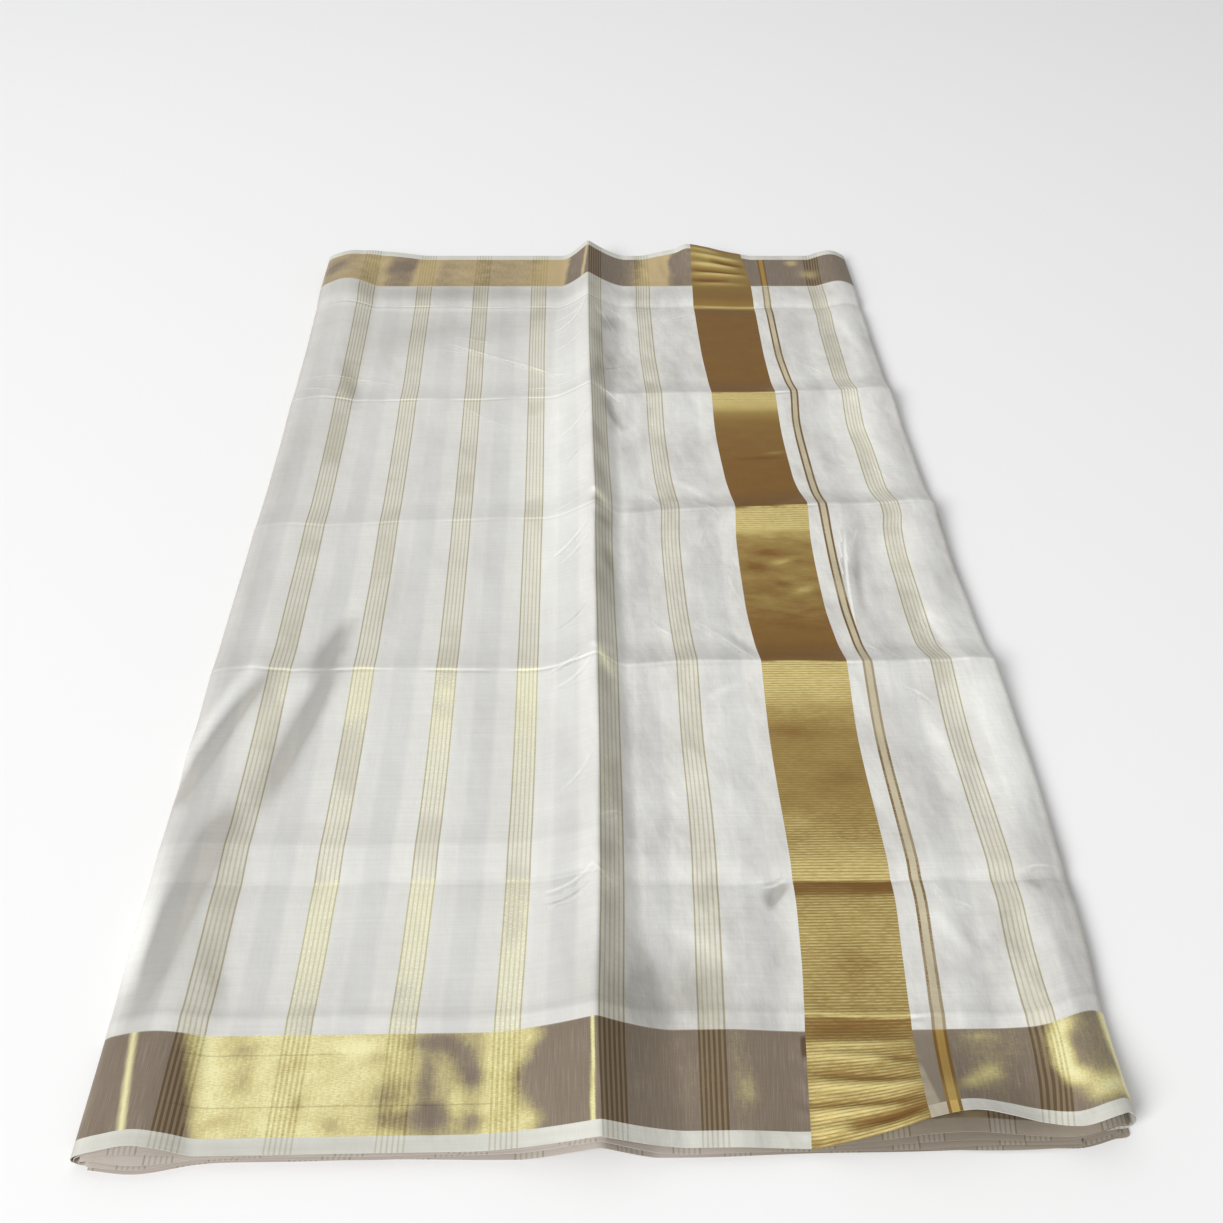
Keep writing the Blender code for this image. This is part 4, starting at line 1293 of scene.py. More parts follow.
class Graph:
    """A material's shader graph."""

    def __init__(self, name: str) -> None:
        """Start a material with one Principled shader.

        Args:
            name: the material's name.
        """
        self.material = bpy.data.materials.new(name)
        self.material.use_nodes = True
        self.tree = self.material.node_tree
        self.shader = self.tree.nodes["Principled BSDF"]

    def node(self, kind: str, settings: dict[str, Any] | None = None,
             sockets: dict[Any, Any] | None = None) -> bpy.types.Node:
        """Add a node, set its settings, then give its sockets their values or links.

        Args:
            kind: the node's type name.
            settings: its properties.
            sockets: a value, a Value or an output for each input, by name or number.

        Returns:
            The new node.
        """
        made = self.tree.nodes.new(kind)
        for name, setting in (settings or {}).items():
            setattr(made, name, setting)
        for name, given in (sockets or {}).items():
            self.give(made.inputs[name], given)
        return made

    def give(self, socket: Socket, given: Any) -> None:
        """Link an input socket, or set it to a plain value.

        Args:
            socket: the input.
            given: what it takes. A colour given to a vector loses its last part.
        """
        if isinstance(given, Value):
            given = given.socket
        if isinstance(given, Socket):
            self.tree.links.new(given, socket)
        elif isinstance(given, tuple):
            socket.default_value = given[:len(socket.default_value)]
        else:
            socket.default_value = given

    def maths(self, operation: str, *numbers: Number) -> Value:
        """One Math node on the given numbers."""
        node = self.node("ShaderNodeMath", {"operation": operation}, dict(enumerate(numbers)))
        return Value(self, node.outputs[0])

    def parts(self, vector: Socket) -> tuple[Value, Value]:
        """The first two parts of a vector."""
        node = self.node("ShaderNodeSeparateXYZ", None, {0: vector})
        return Value(self, node.outputs[0]), Value(self, node.outputs[1])

    def place(self) -> tuple[Value, Value]:
        """Where each point lies on the cloth: its u and v, in metres."""
        return self.parts(self.node("ShaderNodeUVMap", {"uv_map": UV_NAME}).outputs["UV"])

    def across_scene(self) -> Value:
        """x of each point in the scene, in metres."""
        return self.parts(self.node("ShaderNodeTexCoord").outputs["Object"])[0]

    def attribute(self, mark: Mark) -> Value:
        """A number kept on the points of the piece."""
        node = self.node("ShaderNodeAttribute", {"attribute_name": mark.value})
        return Value(self, node.outputs["Fac"])

    def noise(self, u: Number, v: Number, cells: Cells) -> Value:
        """Soft noise from 0 to 1.

        Args:
            u, v: the place on the cloth.
            cells: size and kind of the noise.

        Returns:
            The noise there.
        """
        place = self.node("ShaderNodeCombineXYZ", None,
                          {0: u * cells.along, 1: v * cells.across, 2: cells.seed})
        noise = self.node("ShaderNodeTexNoise", {"noise_dimensions": "3D"},
                          {"Vector": place.outputs[0], "Scale": 1.0, "Detail": cells.detail,
                           "Roughness": cells.roughness})
        return Value(self, noise.outputs[0])

    def mix(self, share: Number, first: Paint, second: Paint) -> Socket:
        """A colour between two, all the second where the share is 1."""
        node = self.node("ShaderNodeMix", {"data_type": "RGBA", "clamp_factor": True},
                         {0: share, 6: first, 7: second})
        return node.outputs[2]

    def shade(self, colour: Paint, amount: Value) -> Socket:
        """A colour times a number."""
        node = self.node("ShaderNodeVectorMath", {"operation": "SCALE"}, {0: colour, "Scale": amount})
        return node.outputs[0]

    def times(self, first: Paint, second: Paint) -> Socket:
        """A colour times another, part by part."""
        node = self.node("ShaderNodeVectorMath", {"operation": "MULTIPLY"}, {0: first, 1: second})
        return node.outputs[0]

    def bump(self, height: Value, strength: float) -> None:
        """Feed the shader's normal from a height, in millimetres."""
        node = self.node("ShaderNodeBump", None,
                         {"Height": height, "Distance": MM, "Strength": strength})
        self.tree.links.new(node.outputs[0], self.shader.inputs["Normal"])

    def feed(self, name: str, given: Any) -> None:
        """Give one of the shader's inputs a value or a link."""
        self.give(self.shader.inputs[name], given)


@dataclass(frozen=True)
class Stripes:
    """The fine zari lines that cross the width, and the double line beside the band, in metres.

    The pair of a line is where its eased mask is 0 and where it is full. Each other pair is where a
    stretch starts and ends.
    """

    start: float = -0.2915
    pitch: float = 0.0716
    width: float = 0.0190
    soft: float = 0.0008
    line_pitch: float = 0.0035
    line_first: float = 0.00075
    line: Pair = (0.0009, 0.0003)
    broad_line: Pair = (0.0012, 0.0006)
    outer_line: Pair = (0.0021, 0.0015)
    gap: Pair = (0.1250, 0.2620)
    gap_soft: float = 0.002
    ghost: Pair = (0.0350, 0.0550)
    faint: Pair = (0.0225, 0.0330)
    ghost_soft: float = 0.006
    faint_share: float = 0.4
    double_start: float = 0.2255
    double_end: float = 0.2340
    double_line: float = 0.0019
    double_soft: float = 0.0006
    rib_pitch: float = 0.0024


@dataclass(frozen=True)
class Masks:
    """Where the weave's stripes lie, each a value from 0 to 1."""

    inside: Value
    lines: Value
    edges: Value
    ghost: Value
    broad: Value


class Weave(ABC):
    """What the finishes of all the woven zones share, with places and lengths in metres."""

    plain = (1.0, 1.0, 1.0, 1.0)
    # Tints for painted light and painted shade.
    lit = (1.27, 1.28, 1.27, 1.0)
    shaded = (0.66, 0.645, 0.62, 1.0)
    cluster_ground = linear(215, 212, 199)
    cluster_line = linear(182, 177, 148)
    # The next two are the dull and the gold ends of the zari's painted reflection.
    taupe = linear(134, 120, 104)
    far_gold = linear(206, 184, 138)
    dull_line = linear(86, 66, 36)
    slip = linear(184, 173, 150)
    thick_line = linear(122, 88, 34)
    edge_gold = linear(198, 168, 92)

    stripes = Stripes()
    weft_cells = Cells(1300, 24, 2.0, 3.0)
    warp_cells = Cells(24, 1300, 2.0, 7.0)
    crumple_cells = Cells(55, 55, 3.0, 9.0)
    wander_cells = Cells(30, 1, 3.0, 15.0)
    uneven_cells = Cells(26, 60, 3.0, 6.0)
    patchy_cells = Cells(70, 40, 2.0, 19.0)

    def __init__(self, zone: Zone) -> None:
        """Start the material, with its place on the cloth and its uneven threads.

        Args:
            zone: the woven zone.
        """
        self.graph = Graph(f"{zone.value}_weave")
        self.u, self.v = self.graph.place()
        self.weft = self.noise(self.weft_cells)
        self.warp = self.noise(self.warp_cells)
        self.crumple = self.noise(self.crumple_cells)

    def noise(self, cells: Cells) -> Value:
        """Soft noise on the cloth."""
        return self.graph.noise(self.u, self.v, cells)

    def near(self) -> Value:
        """1 on the near half of the cloth's width and 0 on the far half."""
        return self.v.step(0.5, 0.4)

    def clusters(self, top: bool) -> Masks:
        """The stripe clusters: six fine lines in each, the outer two darker.

        Args:
            top: leaves out the stretch round the pallu band.

        Returns:
            Their masks, with the grey ghosts of the layers below.
        """
        rows = self.stripes
        phase = (self.u - rows.start) % rows.pitch
        inside = phase.within(0.0, rows.width, rows.soft)
        if top:
            inside = inside * (1 - self.u.within(*rows.gap, rows.gap_soft))
        half = rows.line_pitch / 2
        away = abs((phase - rows.line_first + half) % rows.line_pitch - half)
        last_line = (rows.width - edge for edge in rows.outer_line)
        outer = phase.step(*rows.outer_line) + phase.step(*last_line)
        ghost = phase.within(*rows.ghost, rows.ghost_soft)
        faint = phase.within(*rows.faint, rows.ghost_soft)
        return Masks(inside, away.step(*rows.line) * inside, outer * inside,
                     ghost + faint * rows.faint_share, away.step(*rows.broad_line) * inside)

    def double_line(self) -> tuple[Value, Value]:
        """The double line beside the band.

        Returns:
            Masks of all of it, and of its two dark lines.
        """
        rows = self.stripes
        whole = self.u.within(rows.double_start, rows.double_end, rows.double_soft)
        middle = self.u.within(rows.double_start + rows.double_line,
                               rows.double_end - rows.double_line, rows.double_soft)
        return whole, whole - middle

    def toned(self, colour: Paint, tone: Value) -> Socket:
        """A colour with painted light where the tone is above 0, and painted shade, darker and warmer,
        below it.

        Args:
            colour: as woven.
            tone: painted light above 0 and painted shade below, from -1 to 1.

        Returns:
            The toned colour.
        """
        tint = self.graph.mix(tone, self.plain, self.lit)
        tint = self.graph.mix(tone * -1, tint, self.shaded)
        return self.graph.times(colour, tint)

    def pressed(self) -> tuple[Value, Value]:
        """Painted highlight lines of creases and fine wrinkles, uneven along them.

        Returns:
            Masks of the painted highlight lines and of the painted shade below them.
        """
        graph, u = self.graph, self.u
        fold, press = graph.attribute(Mark.FOLD), graph.attribute(Mark.PRESS)
        crisp, sharp = graph.attribute(Mark.CRISP), graph.attribute(Mark.SHARP)
        fold_line = fold + (graph.noise(u, 0.5, self.wander_cells) - 0.5) * 0.004
        uneven = graph.noise(u, fold, self.uneven_cells).step(0.30, 0.56)
        line = fold_line.within(-0.0025, -0.0002, 0.0012) * uneven * press
        below = fold_line.within(-0.0056, -0.0032, 0.0018) * uneven * press
        patchy = graph.noise(u, crisp, self.patchy_cells).step(0.32, 0.62)
        line = line + crisp.within(-0.0010, 0.0010, 0.0014) * sharp * patchy * 0.65
        below = below + crisp.within(-0.0046, -0.0022, 0.0016) * sharp * patchy * 0.4
        return line, below

    @abstractmethod
    def build(self) -> bpy.types.Material:
        """Finish the zone's material."""


class CottonWeave(Weave):
    """Off-white plain weave with the stripe clusters."""

    metallic = 0.2
    roughness = 0.54
    stripe_gloss = 0.08
    specular = 0.5
    bump = 0.6
    right_half = (-0.025, 0.030)
    left_sheen = 0.35
    cloud_cells = Cells(13, 9, 3.0, 1.0)
    slub_cells = Cells(16, 480, 2.0, 4.0)
    fine_cells = Cells(260, 260, 2.0, 2.0)
    broad_cells = Cells(1, 1, 4.0, 11.0, 0.6)
    small_cells = Cells(1, 1, 3.0, 12.0, 0.6)
    where_cells = Cells(12, 12, 1.0, 13.0)

    def silk(self) -> tuple[Value, Value]:
        """Painted silky light on the cotton, more of it on the right.

        Returns:
            Broad uneven painted sheen, also used as bump, and small painted light and shade of crumples
            here and there.
        """
        graph, u, v = self.graph, self.u, self.v
        more = u.step(*self.right_half) * (1 - self.left_sheen) + self.left_sheen
        broad = (graph.noise(u * 30 + v * 7, v * 13 - u * 8, self.broad_cells) - 0.5) * more
        small = graph.noise(u * 90 + v * 60, v * 26 - u * 40, self.small_cells)
        where = self.noise(self.where_cells).step(0.45, 0.62)
        return broad, (small - 0.5) * where * more

    @abstractmethod
    def pattern(self, stripes: Masks, clouds: Value, line: Value) -> Socket:
        """The zone's colour as woven."""

    def build(self) -> bpy.types.Material:
        """Tone the woven pattern by the painted sheen and shade, the threads and the painted highlights of
        the pressed lines.

        Returns:
            The material.
        """
        graph, weft, warp = self.graph, self.weft, self.warp
        stripes = self.clusters(True)
        line, below = self.pressed()
        broad, small = self.silk()
        clouds = self.noise(self.cloud_cells)
        # Painted light and shade: the kept tone, the painted sheen and crumples, and painted highlights and
        # shade at the crease lines.
        tone = graph.attribute(Mark.TONE) + (clouds - 0.5) * 0.4 + broad * 2.3 + small * 0.8
        colour = self.toned(self.pattern(stripes, clouds, line), tone + line * 1.1 - below * 0.6)
        grain = 0.840 + weft * 0.10 + warp * 0.09 + self.noise(self.slub_cells) * 0.13
        graph.feed("Base Color", graph.shade(colour, grain))
        graph.feed("Roughness", self.roughness - stripes.inside * self.stripe_gloss)
        graph.feed("Metallic", stripes.lines * self.metallic)
        graph.feed("Specular IOR Level", self.specular)
        height = self.crumple * 0.6 + broad * 2.4 + self.noise(self.fine_cells) * 0.12
        graph.bump(height + (weft + warp) * 0.05, self.bump)
        return graph.material


class FieldWeave(CottonWeave):
    """The field: clusters that glitter here and there, and the double line beside the band."""

    cotton = linear(216, 215, 210)
    ghost = linear(199, 199, 197)
    cluster_edge = linear(166, 160, 130)
    # Cluster colours under the painted sheen, a dull olive, and the painted glints.
    glitter_ground = linear(225, 222, 193)
    glitter_line = linear(200, 196, 156)
    olive = linear(176, 170, 151)
    sparkle = linear(243, 240, 205)
    double_dark = linear(112, 86, 46)
    double_ground = linear(192, 182, 154)
    far_fade = (1.02, 0.45)
    near_paler = (0.42, 0.36)
    left_half = (-0.02, -0.03)
    glint_cells = Cells(420, 760, 1.0, 8.0)
    dull_cells = Cells(12, 13, 2.0, 14.0)

    def pattern(self, stripes: Masks, clouds: Value, line: Value) -> Socket:
        """Cotton, the grey ghosts of the layers below, the clusters and the double line.

        Args:
            stripes: masks of the clusters.
            clouds: broad noise.
            line: mask of the pressed lines.

        Returns:
            The colour as woven.
        """
        graph, mix = self.graph, self.graph.mix
        # Painted sheen on the clusters: the zari's painted reflection, painted glints and dull patches.
        glints = self.noise(self.glint_cells)
        dull = self.noise(self.dull_cells).step(0.50, 0.62)
        gold = graph.attribute(Mark.GOLD)
        shine = (gold + (glints - 0.5) * 0.7 - dull * 0.3).step(0.25, 0.85)
        ghost = stripes.ghost * (0.25 + clouds) * (1 - stripes.inside)
        colour = mix(ghost * self.v.step(*self.far_fade) * 0.35 + ghost * 0.45, self.cotton, self.ghost)
        ground = mix(shine * 0.9, self.cluster_ground, self.glitter_ground)
        ground = mix(dull * 0.35, ground, self.olive)
        inner = mix(shine * 0.9, self.cluster_line, self.glitter_line)
        outer = mix(shine * 0.6, self.cluster_edge, self.glitter_line)
        colour = mix(stripes.inside * 0.9, colour, ground)
        colour = mix(stripes.lines * 0.6, colour, inner)
        colour = mix(stripes.lines * stripes.edges * 0.75, colour, outer)
        # Painted glints where the crease lines cross the clusters, and scattered over them.
        flash = stripes.inside * line * self.u.step(*self.left_half)
        colour = mix(flash * 0.6, colour, self.sparkle)
        spark = stripes.inside * (1 - stripes.lines) * shine * glints.step(0.52, 0.64)
        colour = mix(spark * 0.55, colour, self.sparkle)
        whole, dark = self.double_line()
        # The dark lines are paler in patches, more on the near half.
        paler_patches = (clouds + self.v.step(*self.near_paler) * 0.12 + (glints - 0.5) * 0.3).step(0.48, 0.64)
        colour = mix(whole, colour, self.double_ground)
        return mix(dark * (1 - paler_patches * 0.45), colour, self.double_dark)


class SelvedgeWeave(CottonWeave):
    """The plain edge outside each border, with the stripes' ends."""

    selvedge = linear(210, 209, 200)
    strip_start = SIZES.u_band_end - 0.001
    strip_soft = 0.0012

    def pattern(self, stripes: Masks, clouds: Value, line: Value) -> Socket:
        """Cotton, the ends of the clusters and those of the double line.

        Args:
            stripes: masks of the clusters.
            clouds, line: not used on the edge.

        Returns:
            The colour as woven.
        """
        mix, near = self.graph.mix, self.near()
        colour = mix(stripes.lines * 0.55, self.selvedge, self.cluster_line)
        strip = self.u.within(self.strip_start, self.stripes.double_start, self.strip_soft)
        colour = mix(strip * near * 0.85, colour, self.slip)
        whole, dark = self.double_line()
        colour = mix(whole * near, colour, self.edge_gold)
        return mix(dark * near * 0.9, colour, self.thick_line)


class BorderWeave(Weave):
    """Zari weave, dull taupe or pale gold as it catches the light."""

    metallic = 0.35
    roughness = 0.48
    gold_gloss = 0.10
    bump = 0.5
    hairline = linear(172, 161, 146)
    # Ends of the zari's painted reflection: gold, and pale gold for its painted highlights.
    gold = linear(213, 201, 140)
    pale_gold = linear(244, 238, 182)
    # Cluster colours on dull and on gold zari, mixed by the painted reflection.
    dull_ground = linear(136, 115, 82)
    gold_line = linear(172, 158, 92)
    strip = linear(150, 138, 122)
    thick_ground = linear(176, 142, 70)
    # Painted shade of the tuck where the band's edge folds in.
    notch = linear(88, 66, 42)
    seam = linear(226, 223, 206)

    streak_place = -0.3196
    streak_slant = 0.137
    streak_half = 0.0022
    streak_soft = 0.0048
    slip_slant = 0.22
    notch_u = (SIZES.u_band_start - 0.0022, 0.15, 0.002)
    notch_v = (0.066, 0.081, 0.004)
    fold_wander = 0.0016
    upper_fold = (0.0655, 0.0665, 0.0007)
    lower_fold = (0.0302, 0.0312, 0.0007)
    seam_start = SIZES.hem - 0.0026
    seam_end = SIZES.hem - 0.0006
    seam_inset = 0.0016
    mottle_cells = Cells(40, 80, 4.0, 5.0, 0.6)
    grain_cells = Cells(320, 1500, 1.0, 2.0)
    thread_cells = Cells(700, 90, 2.0, 16.0)
    hair_cells = Cells(1500, 40, 2.0, 5.0)
    broken_cells = Cells(200, 900, 1.0, 18.0)

    def __init__(self, zone: Zone) -> None:
        """Start the material, with the zari's painted reflection: how gold it looks and where its painted
        highlight is brightest.

        Args:
            zone: the woven zone.
        """
        super().__init__(zone)
        self.side = self.near()
        self.mottle = self.noise(self.mottle_cells)
        self.grain = self.noise(self.grain_cells)
        self.thread = self.noise(self.thread_cells)
        gold = self.graph.attribute(Mark.GOLD)
        uneven = (self.mottle - 0.5) * (0.25 + gold * 0.35)
        glow = gold + uneven + (self.grain + self.thread - 1) * 0.3
        self.share = glow.step(0.12, 0.78)
        self.bright = (glow + (self.grain - 0.5) * 0.5).step(0.60, 1.15) * self.side

    def ground(self) -> Socket:
        """The zari between the stripes, with a painted highlight streak along the left fold.

        Returns:
            Its colour.
        """
        mix = self.graph.mix
        hairs = self.noise(self.hair_cells).step(0.45, 0.75) * (1 - self.share)
        colour = mix(hairs * 0.4, self.taupe, self.hairline)
        colour = mix(self.share, colour, mix(self.side, self.far_gold, self.gold))
        colour = mix(self.bright, colour, self.pale_gold)
        middle = self.streak_place + self.streak_slant * SIZES.hem
        across = self.u + self.v * self.streak_slant + (self.thread - 0.5) * 0.002
        streak = across.within(middle - self.streak_half, middle + self.streak_half, self.streak_soft)
        return mix(streak * self.side * 0.95, colour, self.pale_gold)

    def striped(self, colour: Paint) -> Socket:
        """The clusters' lines across the border, broken up where the zari is bright.

        Args:
            colour: the zari's colour.

        Returns:
            The colour with the lines.
        """
        mix, stripes = self.graph.mix, self.clusters(True)
        line = mix(self.share, self.dull_line, self.gold_line)
        # Dull and gold line colours follow the painted reflection.
        broken = self.noise(self.broken_cells).step(0.30, 0.55)
        colour = mix(stripes.inside * (1 - self.share) * 0.55, colour, self.dull_ground)
        return mix(stripes.broad * (0.75 - self.share * broken * 0.35), colour, line)

    def beside_band(self, colour: Paint) -> Socket:
        """The pale strip and the double line right of the band, and the painted shade of a tuck, the notch,
        left of it.

        Args:
            colour: the border's colour.

        Returns:
            The colour with them.
        """
        mix, u, v = self.graph.mix, self.u, self.v
        strip = u.within(SIZES.u_band_end - 0.001, SIZES.u_double, 0.001) * self.side
        slip = (u + v * self.slip_slant).step(0.2240, 0.2212) * v.step(0.054, 0.042)
        colour = mix(strip * 0.75, colour, self.strip)
        colour = mix(strip * slip * 0.8, colour, self.slip)
        whole, dark = self.double_line()
        low = (v + (self.grain - 0.5) * 0.01).step(0.040, 0.020) * self.side
        colour = mix(whole * 0.9, colour, mix(low, self.thick_ground, self.edge_gold))
        colour = mix(dark * (0.9 - low * 0.3), colour, self.thick_line)
        # Painted shade of the tuck at the band's left edge.
        notch = ((u + self.thread * 0.002).within(*self.notch_u)
                 * (v + self.mottle * 0.010).within(*self.notch_v))
        return mix(notch * 0.85, colour, self.notch)

    def fold_lines(self) -> Value:
        """Mask of the two faint folds along the near border's left half, painted as shade and pressed into
        the bump.
        """
        v = self.v + (self.mottle - 0.5) * self.fold_wander
        return (v.within(*self.lower_fold) * self.u.within(-0.285, -0.07, 0.03)
                + v.within(*self.upper_fold) * self.u.within(-0.285, -0.180, 0.02))

    def build(self) -> bpy.types.Material:
        """Put the ground, the stripes, the band's edges and the seam together.

        Returns:
            The material.
        """
        graph, weft, warp = self.graph, self.weft, self.warp
        colour = self.beside_band(self.striped(self.ground()))
        fold_lines = self.fold_lines()
        from_edge = graph.maths("MINIMUM", self.v, SIZES.width - self.v)
        seam = (from_edge - self.side * self.seam_inset).step(self.seam_start, self.seam_end)
        colour = graph.mix(seam * 0.8, colour, self.seam)
        # Painted light and shade, with painted shade along the two faint folds.
        colour = self.toned(colour, graph.attribute(Mark.TONE) * 0.5 - fold_lines * 0.5)
        graph.feed("Base Color", graph.shade(colour, 0.84 + weft * 0.18 + warp * 0.14))
        graph.feed("Metallic", self.metallic)
        graph.feed("Roughness", self.roughness - self.share * self.gold_gloss)
        height = self.crumple * 0.8 + (weft + warp) * 0.06 + self.grain * 0.08 - fold_lines * 0.3
        graph.bump(height, self.bump)
        return graph.material


class BandWeave(Weave):
    """Dense gold zari, with ribs across its near half."""

    metallic = 0.4
    roughness = 0.44
    bump = 0.5
    # Dark, gold and bright follow the band's painted reflection; then painted shade in the rib valleys and
    # painted highlights on the rib crests.
    dark = linear(131, 94, 43)
    gold = linear(166, 140, 78)
    bright = linear(220, 200, 130)
    rib = linear(108, 80, 34)
    rib_highlight = linear(232, 220, 158)
    wobble_cells = Cells(18, 40, 2.0, 4.0)
    broken_cells = Cells(160, 900, 2.0, 6.0)
    mottle_cells = Cells(45, 80, 3.0, 2.0)
    crumpled_cells = Cells(1, 1, 4.0, 21.0, 0.65)

    def ribs(self, ribbed: Value) -> tuple[Value, Value]:
        """The ribs across the band, a triangle wave along v with broken lines.

        Args:
            ribbed: how strongly the ribs show.

        Returns:
            Masks of their valleys and crests.
        """
        wobble, broken = self.noise(self.wobble_cells), self.noise(self.broken_cells)
        away = abs((self.v / self.stripes.rib_pitch + (wobble - 0.5) * 0.6) % 1.0 - 0.5) * 2
        valley = away.step(0.50, 0.95) * ribbed * (broken.step(0.34, 0.58) * 0.6 + 0.4)
        return valley, away.step(0.50, 0.05) * ribbed * (1 - broken).step(0.38, 0.58)

    def build(self) -> bpy.types.Material:
        """Colour the ribs and crumples by the band's painted reflection, with painted light and shade on
        them.

        Returns:
            The material.
        """
        graph, u, v, weft, warp = self.graph, self.u, self.v, self.weft, self.warp
        gold = graph.attribute(Mark.GOLD)
        ribbed = (v.step(0.4225, 0.4150) * (1 - v.within(0.255, 0.375, 0.05) * 0.6)
                  + v.within(0.600, 0.640, 0.016) + v.within(0.815, 0.840, 0.010) * 0.7)
        valley, crest = self.ribs(ribbed)
        crumpled = graph.noise(u * 30 + v * 9, v * 85, self.crumpled_cells)
        crumples = v.within(0.475, 0.600, 0.04) * 0.9 + v.within(0.200, 0.400, 0.08) * 0.25 + 0.08
        mottled = (self.noise(self.mottle_cells) - 0.5) * (0.12 + ribbed * 0.2)
        line, below = self.pressed()
        # The painted reflection, with painted light and shade of the crumples and the crease lines.
        share = gold + mottled + (crumpled - 0.5) * crumples + line * 0.35 - below * 0.1
        colour = graph.mix(share * 2, self.dark, self.gold)
        colour = graph.mix(share * 2 - 1, colour, self.bright)
        # Painted shade in the rib valleys and pucker hollows, painted highlights on the rib crests.
        colour = graph.mix(valley * 0.6, colour, self.rib)
        colour = graph.mix(crest * share, colour, self.rib_highlight)
        colour = graph.mix(gold * -2.5, colour, self.rib)
        graph.feed("Base Color", graph.shade(colour, 0.93 + warp * 0.07 + weft * 0.07))
        graph.feed("Metallic", self.metallic)
        graph.feed("Roughness", self.roughness)
        height = crest * 0.10 - valley * 0.10 + (warp + weft) * 0.04
        graph.bump(height + self.crumple * 0.6 + crumpled * crumples, self.bump)
        return graph.material


class LowerWeave(Weave):
    """The same cloth on the lower layers: selvedge and border at both edges, cotton between."""

    metallic = 0.35
    roughness = 0.60
    zari_gloss = 0.14
    bump = 0.5
    # Darker than the top layer's cotton and stripes: painted shade between the layers, and more painted
    # shade under the lifted near right edge.
    cotton = linear(190, 181, 172)
    line = linear(148, 139, 122)
    cotton_in_shade = linear(151, 141, 127)
    line_in_shade = linear(112, 102, 78)
    shade_x = (0.02, 0.16)
    mottle_cells = Cells(25, 50, 3.0, 5.0)

    def build(self) -> bpy.types.Material:
        """Colour the cotton, its stripes and the zari, darker under the lifted near right edge.

        Returns:
            The material.
        """
        graph, weft, warp = self.graph, self.weft, self.warp
        stripes = self.clusters(False)
        from_edge = graph.maths("MINIMUM", self.v, SIZES.width - self.v)
        border = from_edge.within(SIZES.selvedge, SIZES.hem, self.stripes.soft)
        gold = self.noise(self.mottle_cells).step(0.50, 0.80)
        zari = graph.mix(gold * 0.6, self.taupe, self.far_gold)
        shade = graph.across_scene().step(*self.shade_x)
        cotton = graph.mix(shade, self.cotton, self.cotton_in_shade)
        cotton = graph.mix(stripes.inside * 0.12, cotton, self.cluster_ground)
        colour = graph.mix(border, cotton, zari)
        line = graph.mix(shade, self.line, self.line_in_shade)
        line = graph.mix(border, line, self.dull_line)
        colour = graph.mix(stripes.lines * (0.5 + stripes.edges * 0.3), colour, line)
        graph.feed("Base Color", graph.shade(colour, 0.88 + weft * 0.12 + warp * 0.12))
        graph.feed("Metallic", border * self.metallic)
        graph.feed("Roughness", self.roughness - border * self.zari_gloss)
        graph.bump(self.crumple * 0.9 + (weft + warp) * 0.06, self.bump)
        return graph.material


WEAVES = {
    Zone.FIELD: FieldWeave,
    Zone.BORDER: BorderWeave,
    Zone.BAND: BandWeave,
    Zone.SELVEDGE: SelvedgeWeave,
    Zone.LOWER: LowerWeave,
}


@cache
def woven(zone: Zone) -> bpy.types.Material:
    """The zone's material, made once."""
    return WEAVES[zone](zone).build()


class Maker:
    """Dresses each finished piece, hides the imported nodes it stands for and logs its faces."""

    def __init__(self) -> None:
        """Start with no piece made."""
        self.made: list[bpy.types.Object] = []

    def finish(self, piece: bpy.types.Object, zone: Zone, nodes: Sequence[str] = (),
               flat: Pair | None = None, rests_on: Sequence[str] = ()) -> None:
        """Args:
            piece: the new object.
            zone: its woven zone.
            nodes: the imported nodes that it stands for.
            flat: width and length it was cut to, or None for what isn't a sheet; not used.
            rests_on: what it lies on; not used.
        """
        piece.data.materials.append(woven(zone))
        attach(piece, BODY)
        if nodes:
            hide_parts(*nodes)
        self.made.append(piece)
        LOG.info("%s: %d faces", piece.name, len(piece.data.polygons))


